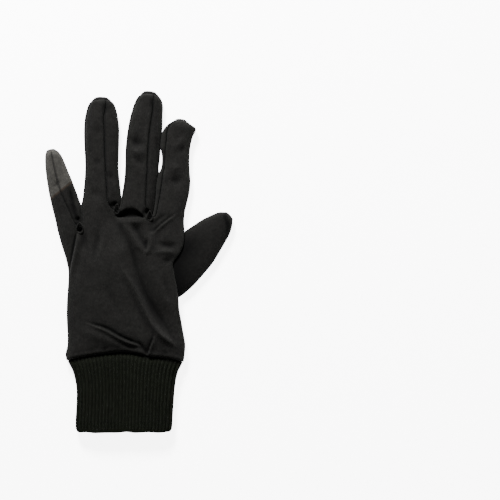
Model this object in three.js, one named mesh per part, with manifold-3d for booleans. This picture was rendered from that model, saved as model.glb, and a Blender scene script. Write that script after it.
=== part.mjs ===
import * as THREE from 'three';
import Module from 'manifold-3d';

const wasm = await Module();
wasm.setup();

// A left-hand glove liner lying flat with the back of the hand up, in millimetres.
// X points to the thumb, Y to the fingertips and Z up. Zero is under the middle of the palm,
// on the surface that the glove lies on.

// Sizes of the glove
const palmLong = 106;
const palmWide = 83;
const handHigh = 11.5;
const littleLong = 61.9;
const littleWide = 17;
const ringLong = 91.4;
const ringWide = 26;
const middleLong = 91.8;
const middleWide = 26;
const indexLong = 73.5;
const indexWide = 23;
const fingerHigh = 8;
const thumbLong = 52;
const thumbWide = 34;
const thumbHigh = 6.8;
const cuffLong = 53.7;
const cuffWide = 72.8;
const cuffHigh = 9.6;

// Cloth, seams and ribs
const clothWall = 1.1;
const seamGap = 0.3;
const fingerGap = 0.6;
const crotchGap = 1.8;
const sideRound = 4;
const foldHigh = 1.2;
const thumbTuck = 3;
const cuffWall = 2;
const ribPitch = 1.5;
const ribDeep = 0.35;

// How the sections are drawn
const fingerCrown = 2.3;
const handCrown = 2.5;
const cuffBow = 0.45;
const cuffCrown = 0.8;
const widestShare = 0.42;
const lowSeamAngle = -Math.PI / 3;
const sideCells = 4;
const tipRoundShare = 0.8;
const tipSeamAt = 0.94;
const tipBow = 0.024;
const knuckleBlendStart = 0.7;
const liftStart = 0.2;
const hemFade = 0.06;
const edgeFade = 8;
const foldSteps = 12;
const foldEndShare = 0.45;
const sharpestCorner = 0.6;
const sharpestBend = 0.85;
const narrowestHalf = 1.2;
const cuffSteps = 720;

function table(columns, rows) {
  return rows.map((row) => Object.fromEntries(columns.map((name, i) => [name, row[i]])));
}

// Each finger's outline and top seams, seen from above, as shares of its width on either side of
// its middle line. at is the share of the way from the crotch to the tip.
const outlineColumns = ['at', 'left', 'right', 'seamLeft', 'seamRight'];

const littleOutline = table(outlineColumns, [
  [0.0, -0.49, 0.5, -0.4, 0.36],
  [0.05, -0.485, 0.58, -0.4, 0.33],
  [0.12, -0.48, 0.65, -0.4, 0.27],
  [0.24, -0.495, 0.72, -0.4, 0.18],
  [0.36, -0.505, 0.73, -0.4, 0.08],
  [0.48, -0.505, 0.67, -0.395, 0.01],
  [0.6, -0.485, 0.605, -0.37, -0.02],
  [0.72, -0.45, 0.52, -0.35, -0.03],
  [0.82, -0.405, 0.46, -0.31, -0.03],
  [0.9, -0.345, 0.385, -0.27, -0.02],
  [0.955, -0.285, 0.285, -0.22, -0.01],
  [0.985, -0.22, 0.17, -0.17, 0],
]);

const ringOutline = table(outlineColumns, [
  [0.0, -0.5, 0.52, -0.45, 0.44],
  [0.05, -0.49, 0.6, -0.44, 0.33],
  [0.12, -0.51, 0.61, -0.46, 0.24],
  [0.24, -0.49, 0.565, -0.44, 0.196],
  [0.36, -0.45, 0.527, -0.4, 0.168],
  [0.48, -0.435, 0.528, -0.385, 0.14],
  [0.6, -0.462, 0.534, -0.41, 0.12],
  [0.72, -0.482, 0.532, -0.435, 0.105],
  [0.82, -0.468, 0.49, -0.42, 0.085],
  [0.9, -0.41, 0.43, -0.36, 0.14],
  [0.955, -0.32, 0.33, -0.27, 0.13],
  [0.985, -0.2, 0.205, -0.15, 0.1],
]);

const middleOutline = table(outlineColumns, [
  [0.0, -0.45, 0.46, -0.41, 0.4],
  [0.05, -0.45, 0.505, -0.4, 0.27],
  [0.12, -0.443, 0.52, -0.39, 0.243],
  [0.24, -0.43, 0.513, -0.36, 0.217],
  [0.36, -0.447, 0.517, -0.385, 0.191],
  [0.48, -0.488, 0.52, -0.44, 0.168],
  [0.6, -0.498, 0.502, -0.45, 0.145],
  [0.72, -0.48, 0.495, -0.435, 0.145],
  [0.82, -0.435, 0.463, -0.39, 0.165],
  [0.9, -0.37, 0.435, -0.32, 0.155],
  [0.955, -0.27, 0.34, -0.22, 0.14],
  [0.985, -0.17, 0.21, -0.12, 0.12],
]);

const indexOutline = table(outlineColumns, [
  [0.0, -0.515, 0.505, -0.42, 0.42],
  [0.05, -0.5, 0.503, -0.395, 0.42],
  [0.12, -0.48, 0.533, -0.375, 0.43],
  [0.24, -0.505, 0.58, -0.35, 0.47],
  [0.36, -0.515, 0.58, -0.335, 0.47],
  [0.48, -0.42, 0.515, -0.32, 0.42],
  [0.6, -0.43, 0.472, -0.335, 0.38],
  [0.72, -0.54, 0.463, -0.35, 0.37],
  [0.82, -0.53, 0.503, -0.355, 0.4],
  [0.9, -0.425, 0.545, -0.31, 0.44],
  [0.955, -0.255, 0.375, -0.165, 0.28],
  [0.985, -0.11, 0.235, -0.04, 0.16],
]);

// The fingers from left to right. lean is in degrees towards the thumb.
const fingers = [
  { name: 'little', long: littleLong, wide: littleWide, lean: -12.2, topCells: 4, outline: littleOutline },
  { name: 'ring', long: ringLong, wide: ringWide, lean: 0.7, topCells: 5, outline: ringOutline },
  { name: 'middle', long: middleLong, wide: middleWide, lean: 6.5, topCells: 5, outline: middleOutline },
  { name: 'index', long: indexLong, wide: indexWide, lean: 5.8, topCells: 4, outline: indexOutline },
];

// Where the knuckle line runs: its rise above half the palm's length, as shares of that length,
// at the little finger's outer side, at the three crotches and at the index finger's outer side
const knuckleRise = [-0.083, -0.061, 0.073, 0.024, 0.024];
const knuckleShift = -0.028;

// The hand from the hem, at 0, to the knuckles, at 1: both edges as shares of the palm's width,
// its height as a share of the hand's, and how far its right edge is lifted over the thumb
const handTable = table(['at', 'left', 'right', 'high', 'lift'], [
  [0.0, -0.52, 0.54, 0.82, 0],
  [0.05, -0.53, 0.55, 0.93, 0],
  [0.12, -0.513, 0.555, 1.0, 0],
  [0.2, -0.512, 0.538, 1.0, 0],
  [0.28, -0.517, 0.519, 1.0, 0.15],
  [0.36, -0.52, 0.5, 1.0, 0.6],
  [0.42, -0.519, 0.495, 0.99, 1],
  [0.48, -0.516, 0.49, 0.98, 1],
  [0.55, -0.51, 0.474, 0.97, 1],
  [0.62, -0.505, 0.456, 0.95, 1],
  [0.68, -0.503, 0.45, 0.93, 1],
  [0.73, -0.511, 0.497, 0.9, 1],
  [0.78, -0.524, 0.532, 0.87, 1],
  [0.84, -0.545, 0.544, 0.84, 0.88],
  [0.89, -0.564, 0.543, 0.81, 0.64],
  [0.93, -0.577, 0.538, 0.77, 0.4],
  [0.97, -0.59, 0.536, 0.73, 0.15],
  [1.0, -0.601, 0.54, 0.7, 0],
]);

// The hem line's rise above its left end, as shares of the palm's length
const hemLine = table(['across', 'rise'], [
  [-1, 0],
  [-0.77, 0.024],
  [-0.32, 0.052],
  [0, 0.061],
  [0.28, 0.044],
  [0.44, 0.028],
  [0.68, 0.02],
  [0.88, 0.004],
  [1, -0.009],
]);

// Folds of the back of the hand, each along a curve from one end over a middle control point to
// the other: X as shares of the palm's width, Y of its length, rise of the fold height and reach
// of the palm's width
const folds = table(['fromX', 'fromY', 'viaX', 'viaY', 'toX', 'toY', 'rise', 'reach'], [
  [-0.063, 0.52, 0.05, 0.63, 0.178, 0.52, -1.3, 0.035],
  [-0.08, 0.49, 0.05, 0.5, 0.19, 0.49, 0.7, 0.04],
  [0.253, 0.403, 0.33, 0.47, 0.52, 0.53, -0.8, 0.04],
  [0.29, 0.37, 0.36, 0.43, 0.53, 0.48, 0.6, 0.045],
  [-0.013, 0.495, 0.08, 0.4, 0.19, 0.26, 0.7, 0.04],
  [0.16, 0.4, 0.2, 0.33, 0.21, 0.2, -0.8, 0.045],
  [-0.018, 0.474, 0.11, -0.04, 0.511, -0.403, -0.9, 0.045],
  [-0.06, 0.26, 0.09, -0.19, 0.5, -0.43, 0.8, 0.045],
  [-0.38, -0.2, -0.16, -0.26, 0.137, -0.379, -0.9, 0.035],
  [-0.36, -0.26, -0.16, -0.32, 0.1, -0.42, 0.6, 0.04],
  [0.262, -0.31, 0.26, -0.38, 0.23, -0.45, -0.7, 0.035],
  [0.304, 0.311, 0.4, 0.32, 0.54, 0.3, -0.8, 0.05],
  [0.34, 0.19, 0.42, 0.2, 0.5, 0.23, -0.7, 0.04],
  [-0.393, 0.44, -0.42, 0.3, -0.5, 0.09, -1.1, 0.04],
  [-0.04, 0.6, -0.045, 0.54, -0.06, 0.45, -1.0, 0.035],
  [0.25, 0.55, 0.245, 0.5, 0.24, 0.42, -1.0, 0.035],
]);

// Dents of single fingers: where their middle lies along and across the finger, from -1 to 1
const dents = table(['finger', 'at', 'across', 'rise', 'reachAlong', 'reachAcross'], [
  ['ring', 0.33, 0.62, -0.9, 0.1, 0.3],
  ['middle', 0.56, -0.25, -1.0, 0.08, 0.4],
  ['middle', 0.38, 0.1, -0.6, 0.07, 0.5],
  ['index', 0.37, 0.1, -0.8, 0.08, 0.45],
]);

// The thumb along its own middle line, from inside the hand to the tip: both edges as shares of
// its width
const thumbLean = 47.5;
const thumbRootX = 0.523;
const thumbRootY = 0.178;
const thumbOutline = table(['at', 'left', 'right'], [
  [-0.46, -0.3, 0.3],
  [-0.42, -0.42, 0.42],
  [-0.34, -0.49, 0.49],
  [-0.1, -0.51, 0.51],
  [0.12, -0.51, 0.48],
  [0.35, -0.505, 0.43],
  [0.52, -0.47, 0.355],
  [0.67, -0.43, 0.285],
  [0.81, -0.365, 0.21],
  [0.91, -0.305, 0.12],
  [0.975, -0.215, 0.035],
]);
const thumbSeam = 0.6;
const thumbTopCells = 4;

// The cuff from the hem, at 0, to its lower end, at 1: both edges as shares of its width
const cuffTable = table(['at', 'left', 'right'], [
  [0, -0.58, 0.602],
  [0.06, -0.556, 0.58],
  [0.12, -0.532, 0.556],
  [0.25, -0.506, 0.53],
  [0.42, -0.49, 0.512],
  [0.64, -0.492, 0.503],
  [0.88, -0.497, 0.497],
  [1, -0.49, 0.49],
]);
const cuffOuterRows = [0, 0.12, 0.3, 0.62, 0.975];
const cuffInnerRows = [0.975, 0.5, 0.12, 0];
const ribsCountedAt = 0.6;

const colours = {
  back_panel: 0x1f1f1d,
  palm_panel: 0x1d1d1b,
  fourchette: 0x232322,
  thumb: 0x20201e,
  cuff: 0x111310,
};

function mix(a, b, share) {
  return a + (b - a) * share;
}

function smoothStep(from, to, value) {
  const t = Math.min(1, Math.max(0, (value - from) / (to - from)));
  return t * t * (3 - 2 * t);
}

// Reads one column of a table at any place, smoothly between its rows
function readTable(rows, place, column, key = 'at') {
  let i = 0;
  while (i < rows.length - 2 && place > rows[i + 1][key]) i += 1;
  const slope = (j) => {
    const low = rows[Math.max(0, j - 1)];
    const high = rows[Math.min(rows.length - 1, j + 1)];
    return (high[column] - low[column]) / (high[key] - low[key]);
  };
  const a = rows[i];
  const b = rows[i + 1];
  const span = b[key] - a[key];
  const t = Math.min(1, Math.max(0, (place - a[key]) / span));
  const t2 = t * t;
  const t3 = t2 * t;
  return (2 * t3 - 3 * t2 + 1) * a[column] + (t3 - 2 * t2 + t) * span * slope(i)
    + (3 * t2 - 2 * t3) * b[column] + (t3 - t2) * span * slope(i + 1);
}

// The height of a section's upper and lower skin, at a place across it from -1 to 1
function topHeight(across, side, high, crown) {
  return side + (high - side) * Math.max(0, 1 - Math.abs(across) ** crown) ** (1 / crown);
}

// The points of a section's right or left side between its upper and lower seams. On an outer
// side of the glove the middle point lies at the section's widest height, where the panels meet.
function sideChain(seamAcross, flat, side, high, crown, panelsMeet) {
  const bow = Math.acos(Math.min(1, Math.abs(seamAcross)) ** (crown / 2));
  const start = seamAcross >= 0 ? bow : Math.PI - bow;
  const chain = [];
  for (let k = 1; k < sideCells; k += 1) {
    const half = sideCells / 2;
    let angle = mix(start, lowSeamAngle, k / sideCells);
    if (panelsMeet) angle = k <= half ? mix(start, 0, k / half) : mix(0, lowSeamAngle, k / half - 1);
    if (angle > 0) {
      const reach = Math.abs(Math.cos(angle)) ** (2 / crown);
      chain.push({
        across: Math.sign(Math.cos(angle)) * reach,
        z: side + (high - side) * Math.sin(angle) ** (2 / crown),
      });
    } else {
      chain.push({ across: mix(flat, 1, Math.cos(angle)), z: side * (1 + Math.sin(angle)) });
    }
  }
  return chain;
}

function lowSeam(flat, side) {
  return { across: mix(flat, 1, Math.cos(lowSeamAngle)), z: side * (1 + Math.sin(lowSeamAngle)) };
}

// One closed section of a finger or thumb, as places across it from -1 to 1 with their heights:
// over the top from left to right, down the right side, back underneath and up the left side
function sectionRing(width, seamLeft, seamRight, base, side, high, topCells, outer = {}) {
  const flat = 1 - sideRound / Math.max(width / 2, sideRound * narrowestHalf);
  const ring = [];
  for (let i = 0; i <= topCells; i += 1) {
    const across = mix(seamLeft, seamRight, i / topCells);
    ring.push({ across, z: topHeight(across, side, high, fingerCrown), part: 'top' });
  }
  const right = sideChain(seamRight, flat, side, high, fingerCrown, outer.right);
  for (const p of right) ring.push({ ...p, part: 'right' });
  const corner = lowSeam(flat, side);
  ring.push({ ...corner, part: 'bottom' });
  for (let i = 0; i <= topCells - 2; i += 1) {
    ring.push({ across: mix(flat, -flat, i / (topCells - 2)), z: 0, part: 'bottom' });
  }
  ring.push({ across: -corner.across, z: corner.z, part: 'bottom' });
  const left = sideChain(-seamLeft, flat, side, high, fingerCrown, outer.left).reverse();
  for (const p of left) ring.push({ across: -p.across, z: p.z, part: 'left' });
  for (const p of ring) if (p.z < side) p.z = mix(base, side, p.z / side);
  return ring;
}

// The share of its full height that a finger has near its rounded tip
function tipShare(fromTip, high) {
  const round = high * tipRoundShare;
  return fromTip >= round ? 1 : Math.sqrt(Math.max(0, 1 - ((round - fromTip) / round) ** 2));
}

// Where each finger stands on the knuckle line
function placeFingers() {
  const widths = fingers.map((f) => f.wide * (f.outline[0].right - f.outline[0].left));
  const total = widths.reduce((sum, w) => sum + w, 0) + crotchGap * (fingers.length - 1);
  let x = palmWide * knuckleShift - total / 2;
  fingers.forEach((f, i) => {
    const lean = THREE.MathUtils.degToRad(f.lean);
    f.along = new THREE.Vector2(Math.sin(lean), Math.cos(lean));
    f.across = new THREE.Vector2(Math.cos(lean), -Math.sin(lean));
    f.baseLeft = new THREE.Vector2(x, palmLong * (0.5 + knuckleRise[i]));
    f.baseRight = new THREE.Vector2(x + widths[i], palmLong * (0.5 + knuckleRise[i + 1]));
    f.base = f.baseLeft.clone().add(f.baseRight).multiplyScalar(0.5);
    x += widths[i] + crotchGap;
  });
}

// A point of a finger's edge or seam, from its side's own crotch to the tip
function fingerPoint(finger, side, at, acrossShare) {
  const start = finger[side === 'left' ? 'baseLeft' : 'baseRight'].clone().sub(finger.base).dot(finger.along);
  return finger.base.clone()
    .addScaledVector(finger.along, mix(start, finger.long, at))
    .addScaledVector(finger.across, acrossShare * finger.wide);
}

// Keeps a finger's left edge clear of the finger beside it
function pressEdges() {
  fingers.forEach((f, i) => {
    f.rows = f.outline.map((row) => ({
      ...row,
      leftPoint: fingerPoint(f, 'left', row.at, row.left),
      rightPoint: fingerPoint(f, 'right', row.at, row.right),
    }));
    if (i === 0) return;
    const edge = fingers[i - 1].rows.map((row) => row.rightPoint);
    for (const row of f.rows) {
      const above = edge.findIndex((p) => p.y > row.leftPoint.y);
      if (above < 1) continue;
      const low = edge[above - 1];
      const high = edge[above];
      const x = mix(low.x, high.x, (row.leftPoint.y - low.y) / (high.y - low.y));
      row.leftPoint.x = Math.max(row.leftPoint.x, x + fingerGap);
    }
  });
}

// The outer skin of the whole glove, whose faces are shared out among the cloth pieces
const skin = { points: [], faces: {} };

function addPoint(x, y, z) {
  skin.points.push(new THREE.Vector3(x, y, z));
  return skin.points.length - 1;
}

function addFace(piece, ...corners) {
  skin.faces[piece] ??= [];
  for (let i = 1; i < corners.length - 1; i += 1) {
    skin.faces[piece].push([corners[0], corners[i], corners[i + 1]]);
  }
}

function foldRise(x, y) {
  let rise = 0;
  for (const fold of folds) {
    let nearest = Infinity;
    let place = 0;
    for (let i = 0; i <= foldSteps; i += 1) {
      const t = i / foldSteps;
      const fx = palmWide * ((1 - t) ** 2 * fold.fromX + 2 * t * (1 - t) * fold.viaX + t * t * fold.toX);
      const fy = palmLong * ((1 - t) ** 2 * fold.fromY + 2 * t * (1 - t) * fold.viaY + t * t * fold.toY);
      const gap = Math.hypot(x - fx, y - fy);
      if (gap < nearest) {
        nearest = gap;
        place = t;
      }
    }
    const reach = fold.reach * palmWide;
    const along = mix(foldEndShare, 1, Math.sin(Math.PI * place));
    rise += fold.rise * along * Math.exp(-((nearest / reach) ** 2));
  }
  return foldHigh * rise;
}

function dentRise(finger, at, across) {
  let rise = 0;
  for (const dent of dents.filter((d) => d.finger === finger.name)) {
    const along = (at - dent.at) / dent.reachAlong;
    const aside = (across - dent.across) / dent.reachAcross;
    rise += dent.rise * Math.exp(-(along ** 2) - aside ** 2);
  }
  return foldHigh * rise;
}

// Adds a finger's sections to the skin, and keeps the numbers of their points
function addFingerRings(finger) {
  const side = fingerHigh * widestShare;
  const outer = { left: finger === fingers[0], right: finger === fingers.at(-1) };
  finger.rings = finger.rows.map((row) => {
    const share = tipShare((1 - row.at) * finger.long, fingerHigh);
    const middle = (row.left + row.right) / 2;
    const half = (row.right - row.left) / 2;
    const width = row.leftPoint.distanceTo(row.rightPoint);
    const high = mix(side, fingerHigh, share);
    const ring = sectionRing(width, (row.seamLeft - middle) / half, (row.seamRight - middle) / half,
      side * (1 - share), side, high, finger.topCells, outer);
    const bow = row.at < tipSeamAt ? 0 : (tipBow * finger.long * (1 - row.at)) / (1 - tipSeamAt);
    return ring.map((p) => {
      const spot = row.leftPoint.clone().lerp(row.rightPoint, (p.across + 1) / 2)
        .addScaledVector(finger.along, bow * (1 - p.across ** 2));
      const upper = Math.max(0, (p.z - side) / (high - side));
      const z = p.z + upper * (dentRise(finger, row.at, p.across) + foldRise(spot.x, spot.y));
      return { part: p.part, id: addPoint(spot.x, spot.y, z) };
    });
  });
  const last = finger.rows[finger.rows.length - 1];
  const tip = fingerPoint(finger, 'left', 1, (last.left + last.right) / 2);
  finger.tip = addPoint(tip.x, tip.y, side);
}

function idsOf(ring, part) {
  return ring.filter((p) => p.part === part).map((p) => p.id);
}

// The cloth piece that a cell of a finger belongs to
function fingerCellPiece(fingerIndex, ring, column, at) {
  const part = ring[column].part;
  const next = ring[(column + 1) % ring.length].part;
  if (part === 'bottom' && next === 'bottom') return 'palm_panel';
  if (at >= tipSeamAt) return 'palm_panel';
  if (part === 'top' && next === 'top') return 'back_panel';
  const rightSide = part === 'right' || next === 'right';
  if (rightSide && fingerIndex < fingers.length - 1) return fourchetteName(fingerIndex);
  if (!rightSide && fingerIndex > 0) return fourchetteName(fingerIndex - 1);
  return outerSidePiece(ring, column);
}

// On the outer sides the upper half of the side belongs to the back, the lower to the palm
function outerSidePiece(ring, column) {
  const first = ring.findIndex((p) => p.part === (ring[column].part === 'left' ? 'left' : 'right'));
  if (ring[column].part === 'top') return 'back_panel';
  if (ring[column].part === 'bottom') return 'palm_panel';
  const step = column - first + 1;
  const upper = ring[column].part === 'right' ? step < sideCells / 2 : step >= sideCells / 2;
  return upper ? 'back_panel' : 'palm_panel';
}

function fourchetteName(index) {
  return `fourchette_${fingers[index].name}_${fingers[index + 1].name}`;
}

function addFingerFaces(finger, fingerIndex) {
  const rings = finger.rings;
  for (let r = 0; r < rings.length - 1; r += 1) {
    for (let c = 0; c < rings[r].length; c += 1) {
      const d = (c + 1) % rings[r].length;
      const piece = fingerCellPiece(fingerIndex, rings[r], c, finger.outline[r].at);
      addFace(piece, rings[r][c].id, rings[r][d].id, rings[r + 1][d].id, rings[r + 1][c].id);
    }
  }
  const end = rings[rings.length - 1];
  end.forEach((p, c) => addFace('palm_panel', p.id, end[(c + 1) % end.length].id, finger.tip));
}

// The short wall of a fourchette at the bottom of the gap between two fingers
function addCrotch(index) {
  const left = fingers[index].rings[0];
  const right = fingers[index + 1].rings[0];
  const near = [idsOf(left, 'top').at(-1), ...idsOf(left, 'right'), idsOf(left, 'bottom')[0]];
  const far = [idsOf(right, 'top')[0], ...idsOf(right, 'left').reverse(), idsOf(right, 'bottom').at(-1)];
  for (let k = 0; k < near.length - 1; k += 1) {
    addFace(fourchetteName(index), near[k], far[k], far[k + 1], near[k + 1]);
  }
}

function hemHeight(across) {
  return palmLong * (-0.5 + readTable(hemLine, across, 'rise', 'across'));
}

// The hand's edges, its height and its side heights at a share of the way to the knuckles
function handSection(at) {
  const flare = smoothStep(knuckleBlendStart, 1, at);
  const last = handTable[handTable.length - 1];
  const leftSlip = fingers[0].baseLeft.x - palmWide * last.left;
  const rightSlip = fingers.at(-1).baseRight.x - palmWide * last.right;
  return {
    left: palmWide * readTable(handTable, at, 'left') + leftSlip * flare,
    right: palmWide * readTable(handTable, at, 'right') + rightSlip * flare,
    high: handHigh * readTable(handTable, at, 'high'),
    side: handHigh * widestShare,
    lift: readTable(handTable, at, 'lift'),
    flare,
  };
}

// Raises the right edge of the hand over the thumb, and lets its back slope up from there
function liftOverThumb(z, across, section) {
  const side = mix(section.side, fingerHigh * widestShare, section.flare);
  const high = mix(section.high, fingerHigh, section.flare);
  const overThumb = Math.max(side, thumbHigh + seamGap);
  const lifted = mix(side, overThumb, section.lift * smoothStep(liftStart, 1, across));
  return z < side ? (z * lifted) / side : lifted + ((z - side) * (high - lifted)) / (high - side);
}

// The ring of points where the fingers' first sections meet the hand
function knuckleRing() {
  const top = fingers.flatMap((f) => idsOf(f.rings[0], 'top'));
  const bottom = fingers.flatMap((f) => idsOf(f.rings[0], 'bottom').reverse()).reverse();
  const right = idsOf(fingers.at(-1).rings[0], 'right');
  const left = idsOf(fingers[0].rings[0], 'left');
  return [['top', top], ['right', right], ['bottom', bottom], ['left', left]]
    .flatMap(([part, ids]) => ids.map((id) => ({ part, id })));
}

function addHand() {
  const knuckles = knuckleRing();
  const leftX = fingers[0].baseLeft.x;
  const rightX = fingers.at(-1).baseRight.x;
  const columns = knuckles.map((p) => {
    const spot = skin.points[p.id];
    return { part: p.part, x: spot.x, y: spot.y, z: spot.z, across: (2 * spot.x - leftX - rightX) / (rightX - leftX) };
  });
  const firstTop = columns.find((c) => c.part === 'top').across;
  const lastTop = columns.filter((c) => c.part === 'top').at(-1).across;
  const rings = handTable.slice(0, -1).map((row) => {
    const s = handSection(row.at);
    const flat = 1 - sideRound / ((s.right - s.left) / 2);
    const right = sideChain(lastTop, flat, s.side, s.high, handCrown, true);
    const left = sideChain(-firstTop, flat, s.side, s.high, handCrown, true).reverse()
      .map((p) => ({ across: -p.across, z: p.z }));
    const chain = [...right, ...left];
    return columns.map((c) => {
      let across = Math.max(-1, Math.min(1, c.across));
      let z = 0;
      if (c.part === 'top') z = topHeight(across, s.side, s.high, handCrown);
      if (c.part === 'bottom' && Math.abs(across) > flat) {
        const bend = Math.min(1, (Math.abs(across) - flat) / (1 - flat));
        z = s.side * (1 - Math.sqrt(1 - bend * bend));
      }
      if (c.part === 'left' || c.part === 'right') {
        const p = chain.shift();
        across = mix(p.across, c.across, s.flare);
        z = p.z;
      }
      z = liftOverThumb(mix(z, c.z, s.flare), across, s);
      const x = mix(s.left, s.right, (across + 1) / 2);
      const y = mix(hemHeight(across), c.y, row.at);
      if (c.part === 'top') {
        z += smoothStep(0, hemFade, row.at) * (1 - across ** edgeFade) * foldRise(x, y);
      }
      return { part: c.part, id: addPoint(x, y, z) };
    });
  });
  rings.push(knuckles);
  for (let r = 0; r < rings.length - 1; r += 1) {
    for (let c = 0; c < rings[r].length; c += 1) {
      const d = (c + 1) % rings[r].length;
      const part = rings[r][c].part;
      const next = rings[r][d].part;
      let piece = outerSidePiece(rings[r], c);
      if (part === 'top' && next === 'top') piece = 'back_panel';
      if (part === 'bottom' && next === 'left') piece = 'palm_panel';
      addFace(piece, rings[r][c].id, rings[r][d].id, rings[r + 1][d].id, rings[r + 1][c].id);
    }
  }
}

// The outward direction at each point of a skin, longer where the cloth bends sharply so that
// its wall keeps its thickness
function skinNormals(points, faces) {
  const normals = points.map(() => new THREE.Vector3());
  const flats = faces.map(([a, b, c]) => new THREE.Vector3()
    .crossVectors(points[b].clone().sub(points[a]), points[c].clone().sub(points[a])));
  faces.forEach((face, i) => face.forEach((id) => normals[id].add(flats[i])));
  normals.forEach((n) => n.normalize());
  const lean = points.map(() => 1);
  faces.forEach((face, i) => {
    const flat = flats[i].clone().normalize();
    for (const id of face) lean[id] = Math.min(lean[id], flat.dot(normals[id]));
  });
  return { normals, stretch: lean.map((value) => 1 / Math.max(sharpestBend, (1 + value) / 2)) };
}

// How far each edge point of a cloth piece draws back from its seam, for half the seam gap
function seamShift(points, normals, faces) {
  const key = (a, b) => `${a}_${b}`;
  const edges = new Map();
  for (const face of faces) {
    face.forEach((a, i) => edges.set(key(a, face[(i + 1) % 3]), [a, face[(i + 1) % 3]]));
  }
  const rim = [...edges.values()].filter(([a, b]) => !edges.has(key(b, a)));
  const pulls = new Map();
  for (const [a, b] of rim) {
    const run = points[b].clone().sub(points[a]).normalize();
    for (const id of [a, b]) {
      const inward = new THREE.Vector3().crossVectors(normals[id], run).normalize();
      if (!pulls.has(id)) pulls.set(id, []);
      pulls.get(id).push(inward);
    }
  }
  const shifts = new Map();
  for (const [id, list] of pulls) {
    const mean = list.reduce((total, v) => total.add(v), new THREE.Vector3()).divideScalar(list.length);
    const corner = Math.max(sharpestCorner, mean.length());
    shifts.set(id, mean.multiplyScalar((seamGap * (2 - corner)) / (2 * corner * corner)));
  }
  return { rim, shifts };
}

// A piece of cloth: its share of the skin as the outer side, the same drawn inwards as the inner
// side, and a rim round its edge
function clothPiece(faces, normals, stretch) {
  const { rim, shifts } = seamShift(skin.points, normals, faces);
  const number = new Map();
  const outer = [];
  const inner = [];
  for (const id of faces.flat()) {
    if (number.has(id)) continue;
    number.set(id, outer.length);
    const p = skin.points[id].clone().add(shifts.get(id) ?? new THREE.Vector3());
    outer.push(p);
    inner.push(p.clone().addScaledVector(normals[id], -clothWall * stretch[id]));
  }
  const count = outer.length;
  const triangles = [];
  for (const face of faces) {
    const [a, b, c] = face.map((id) => number.get(id));
    triangles.push([a, b, c], [a + count, c + count, b + count]);
  }
  for (const [p, q] of rim) {
    const a = number.get(p);
    const b = number.get(q);
    triangles.push([b, a, a + count], [b, a + count, b + count]);
  }
  return { points: [...outer, ...inner], triangles };
}

function geometryOf({ points, triangles }) {
  const geometry = new THREE.BufferGeometry();
  geometry.setAttribute('position', new THREE.Float32BufferAttribute(points.flatMap((p) => [p.x, p.y, p.z]), 3));
  geometry.setIndex(triangles.flat());
  geometry.computeVertexNormals();
  return geometry;
}

function solidOf({ points, triangles }) {
  return new wasm.Manifold(new wasm.Mesh({
    numProp: 3,
    vertProperties: Float32Array.from(points.flatMap((p) => [p.x, p.y, p.z])),
    triVerts: Uint32Array.from(triangles.flat()),
  }));
}

function meshOf(solid) {
  const mesh = solid.getMesh();
  const points = [];
  for (let i = 0; i < mesh.vertProperties.length; i += mesh.numProp) {
    points.push(new THREE.Vector3(...mesh.vertProperties.slice(i, i + 3)));
  }
  const triangles = [];
  for (let i = 0; i < mesh.triVerts.length; i += 3) triangles.push([...mesh.triVerts.slice(i, i + 3)]);
  return { points, triangles };
}

// A closed block over an outline in plan, from one height to another
function block(outline, low, high) {
  const shape = new THREE.Shape(outline.map((p) => new THREE.Vector2(p.x, p.y)));
  const geometry = new THREE.ExtrudeGeometry(shape, { depth: high - low, bevelEnabled: false });
  geometry.translate(0, 0, low);
  const seen = new Map();
  const points = [];
  const position = geometry.getAttribute('position');
  const order = [...Array(position.count).keys()].map((i) => {
    const p = new THREE.Vector3().fromBufferAttribute(position, i);
    const name = p.toArray().map((v) => v.toFixed(5)).join();
    if (!seen.has(name)) {
      seen.set(name, points.length);
      points.push(p);
    }
    return seen.get(name);
  });
  const triangles = [];
  for (let i = 0; i < order.length; i += 3) triangles.push(order.slice(i, i + 3));
  return solidOf({ points, triangles });
}

// The thumb's place on the palm, and a point beside its middle line
function thumbPoint(at, acrossShare, spread = 0) {
  const lean = THREE.MathUtils.degToRad(thumbLean);
  const along = new THREE.Vector2(Math.sin(lean), Math.cos(lean));
  const across = new THREE.Vector2(Math.cos(lean), -Math.sin(lean));
  return new THREE.Vector2(palmWide * thumbRootX, palmLong * thumbRootY)
    .addScaledVector(along, at * thumbLong + Math.min(0, Math.sign(at - thumbOutline[1].at)) * spread)
    .addScaledVector(across, acrossShare * thumbWide + Math.sign(acrossShare) * spread);
}

// The thumb's outline in plan, grown by a spread
function thumbPlan(spread) {
  const left = thumbOutline.map((row) => thumbPoint(row.at, row.left, spread));
  const right = thumbOutline.map((row) => thumbPoint(row.at, row.right, spread));
  return [...right, ...left.reverse()];
}

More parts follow.
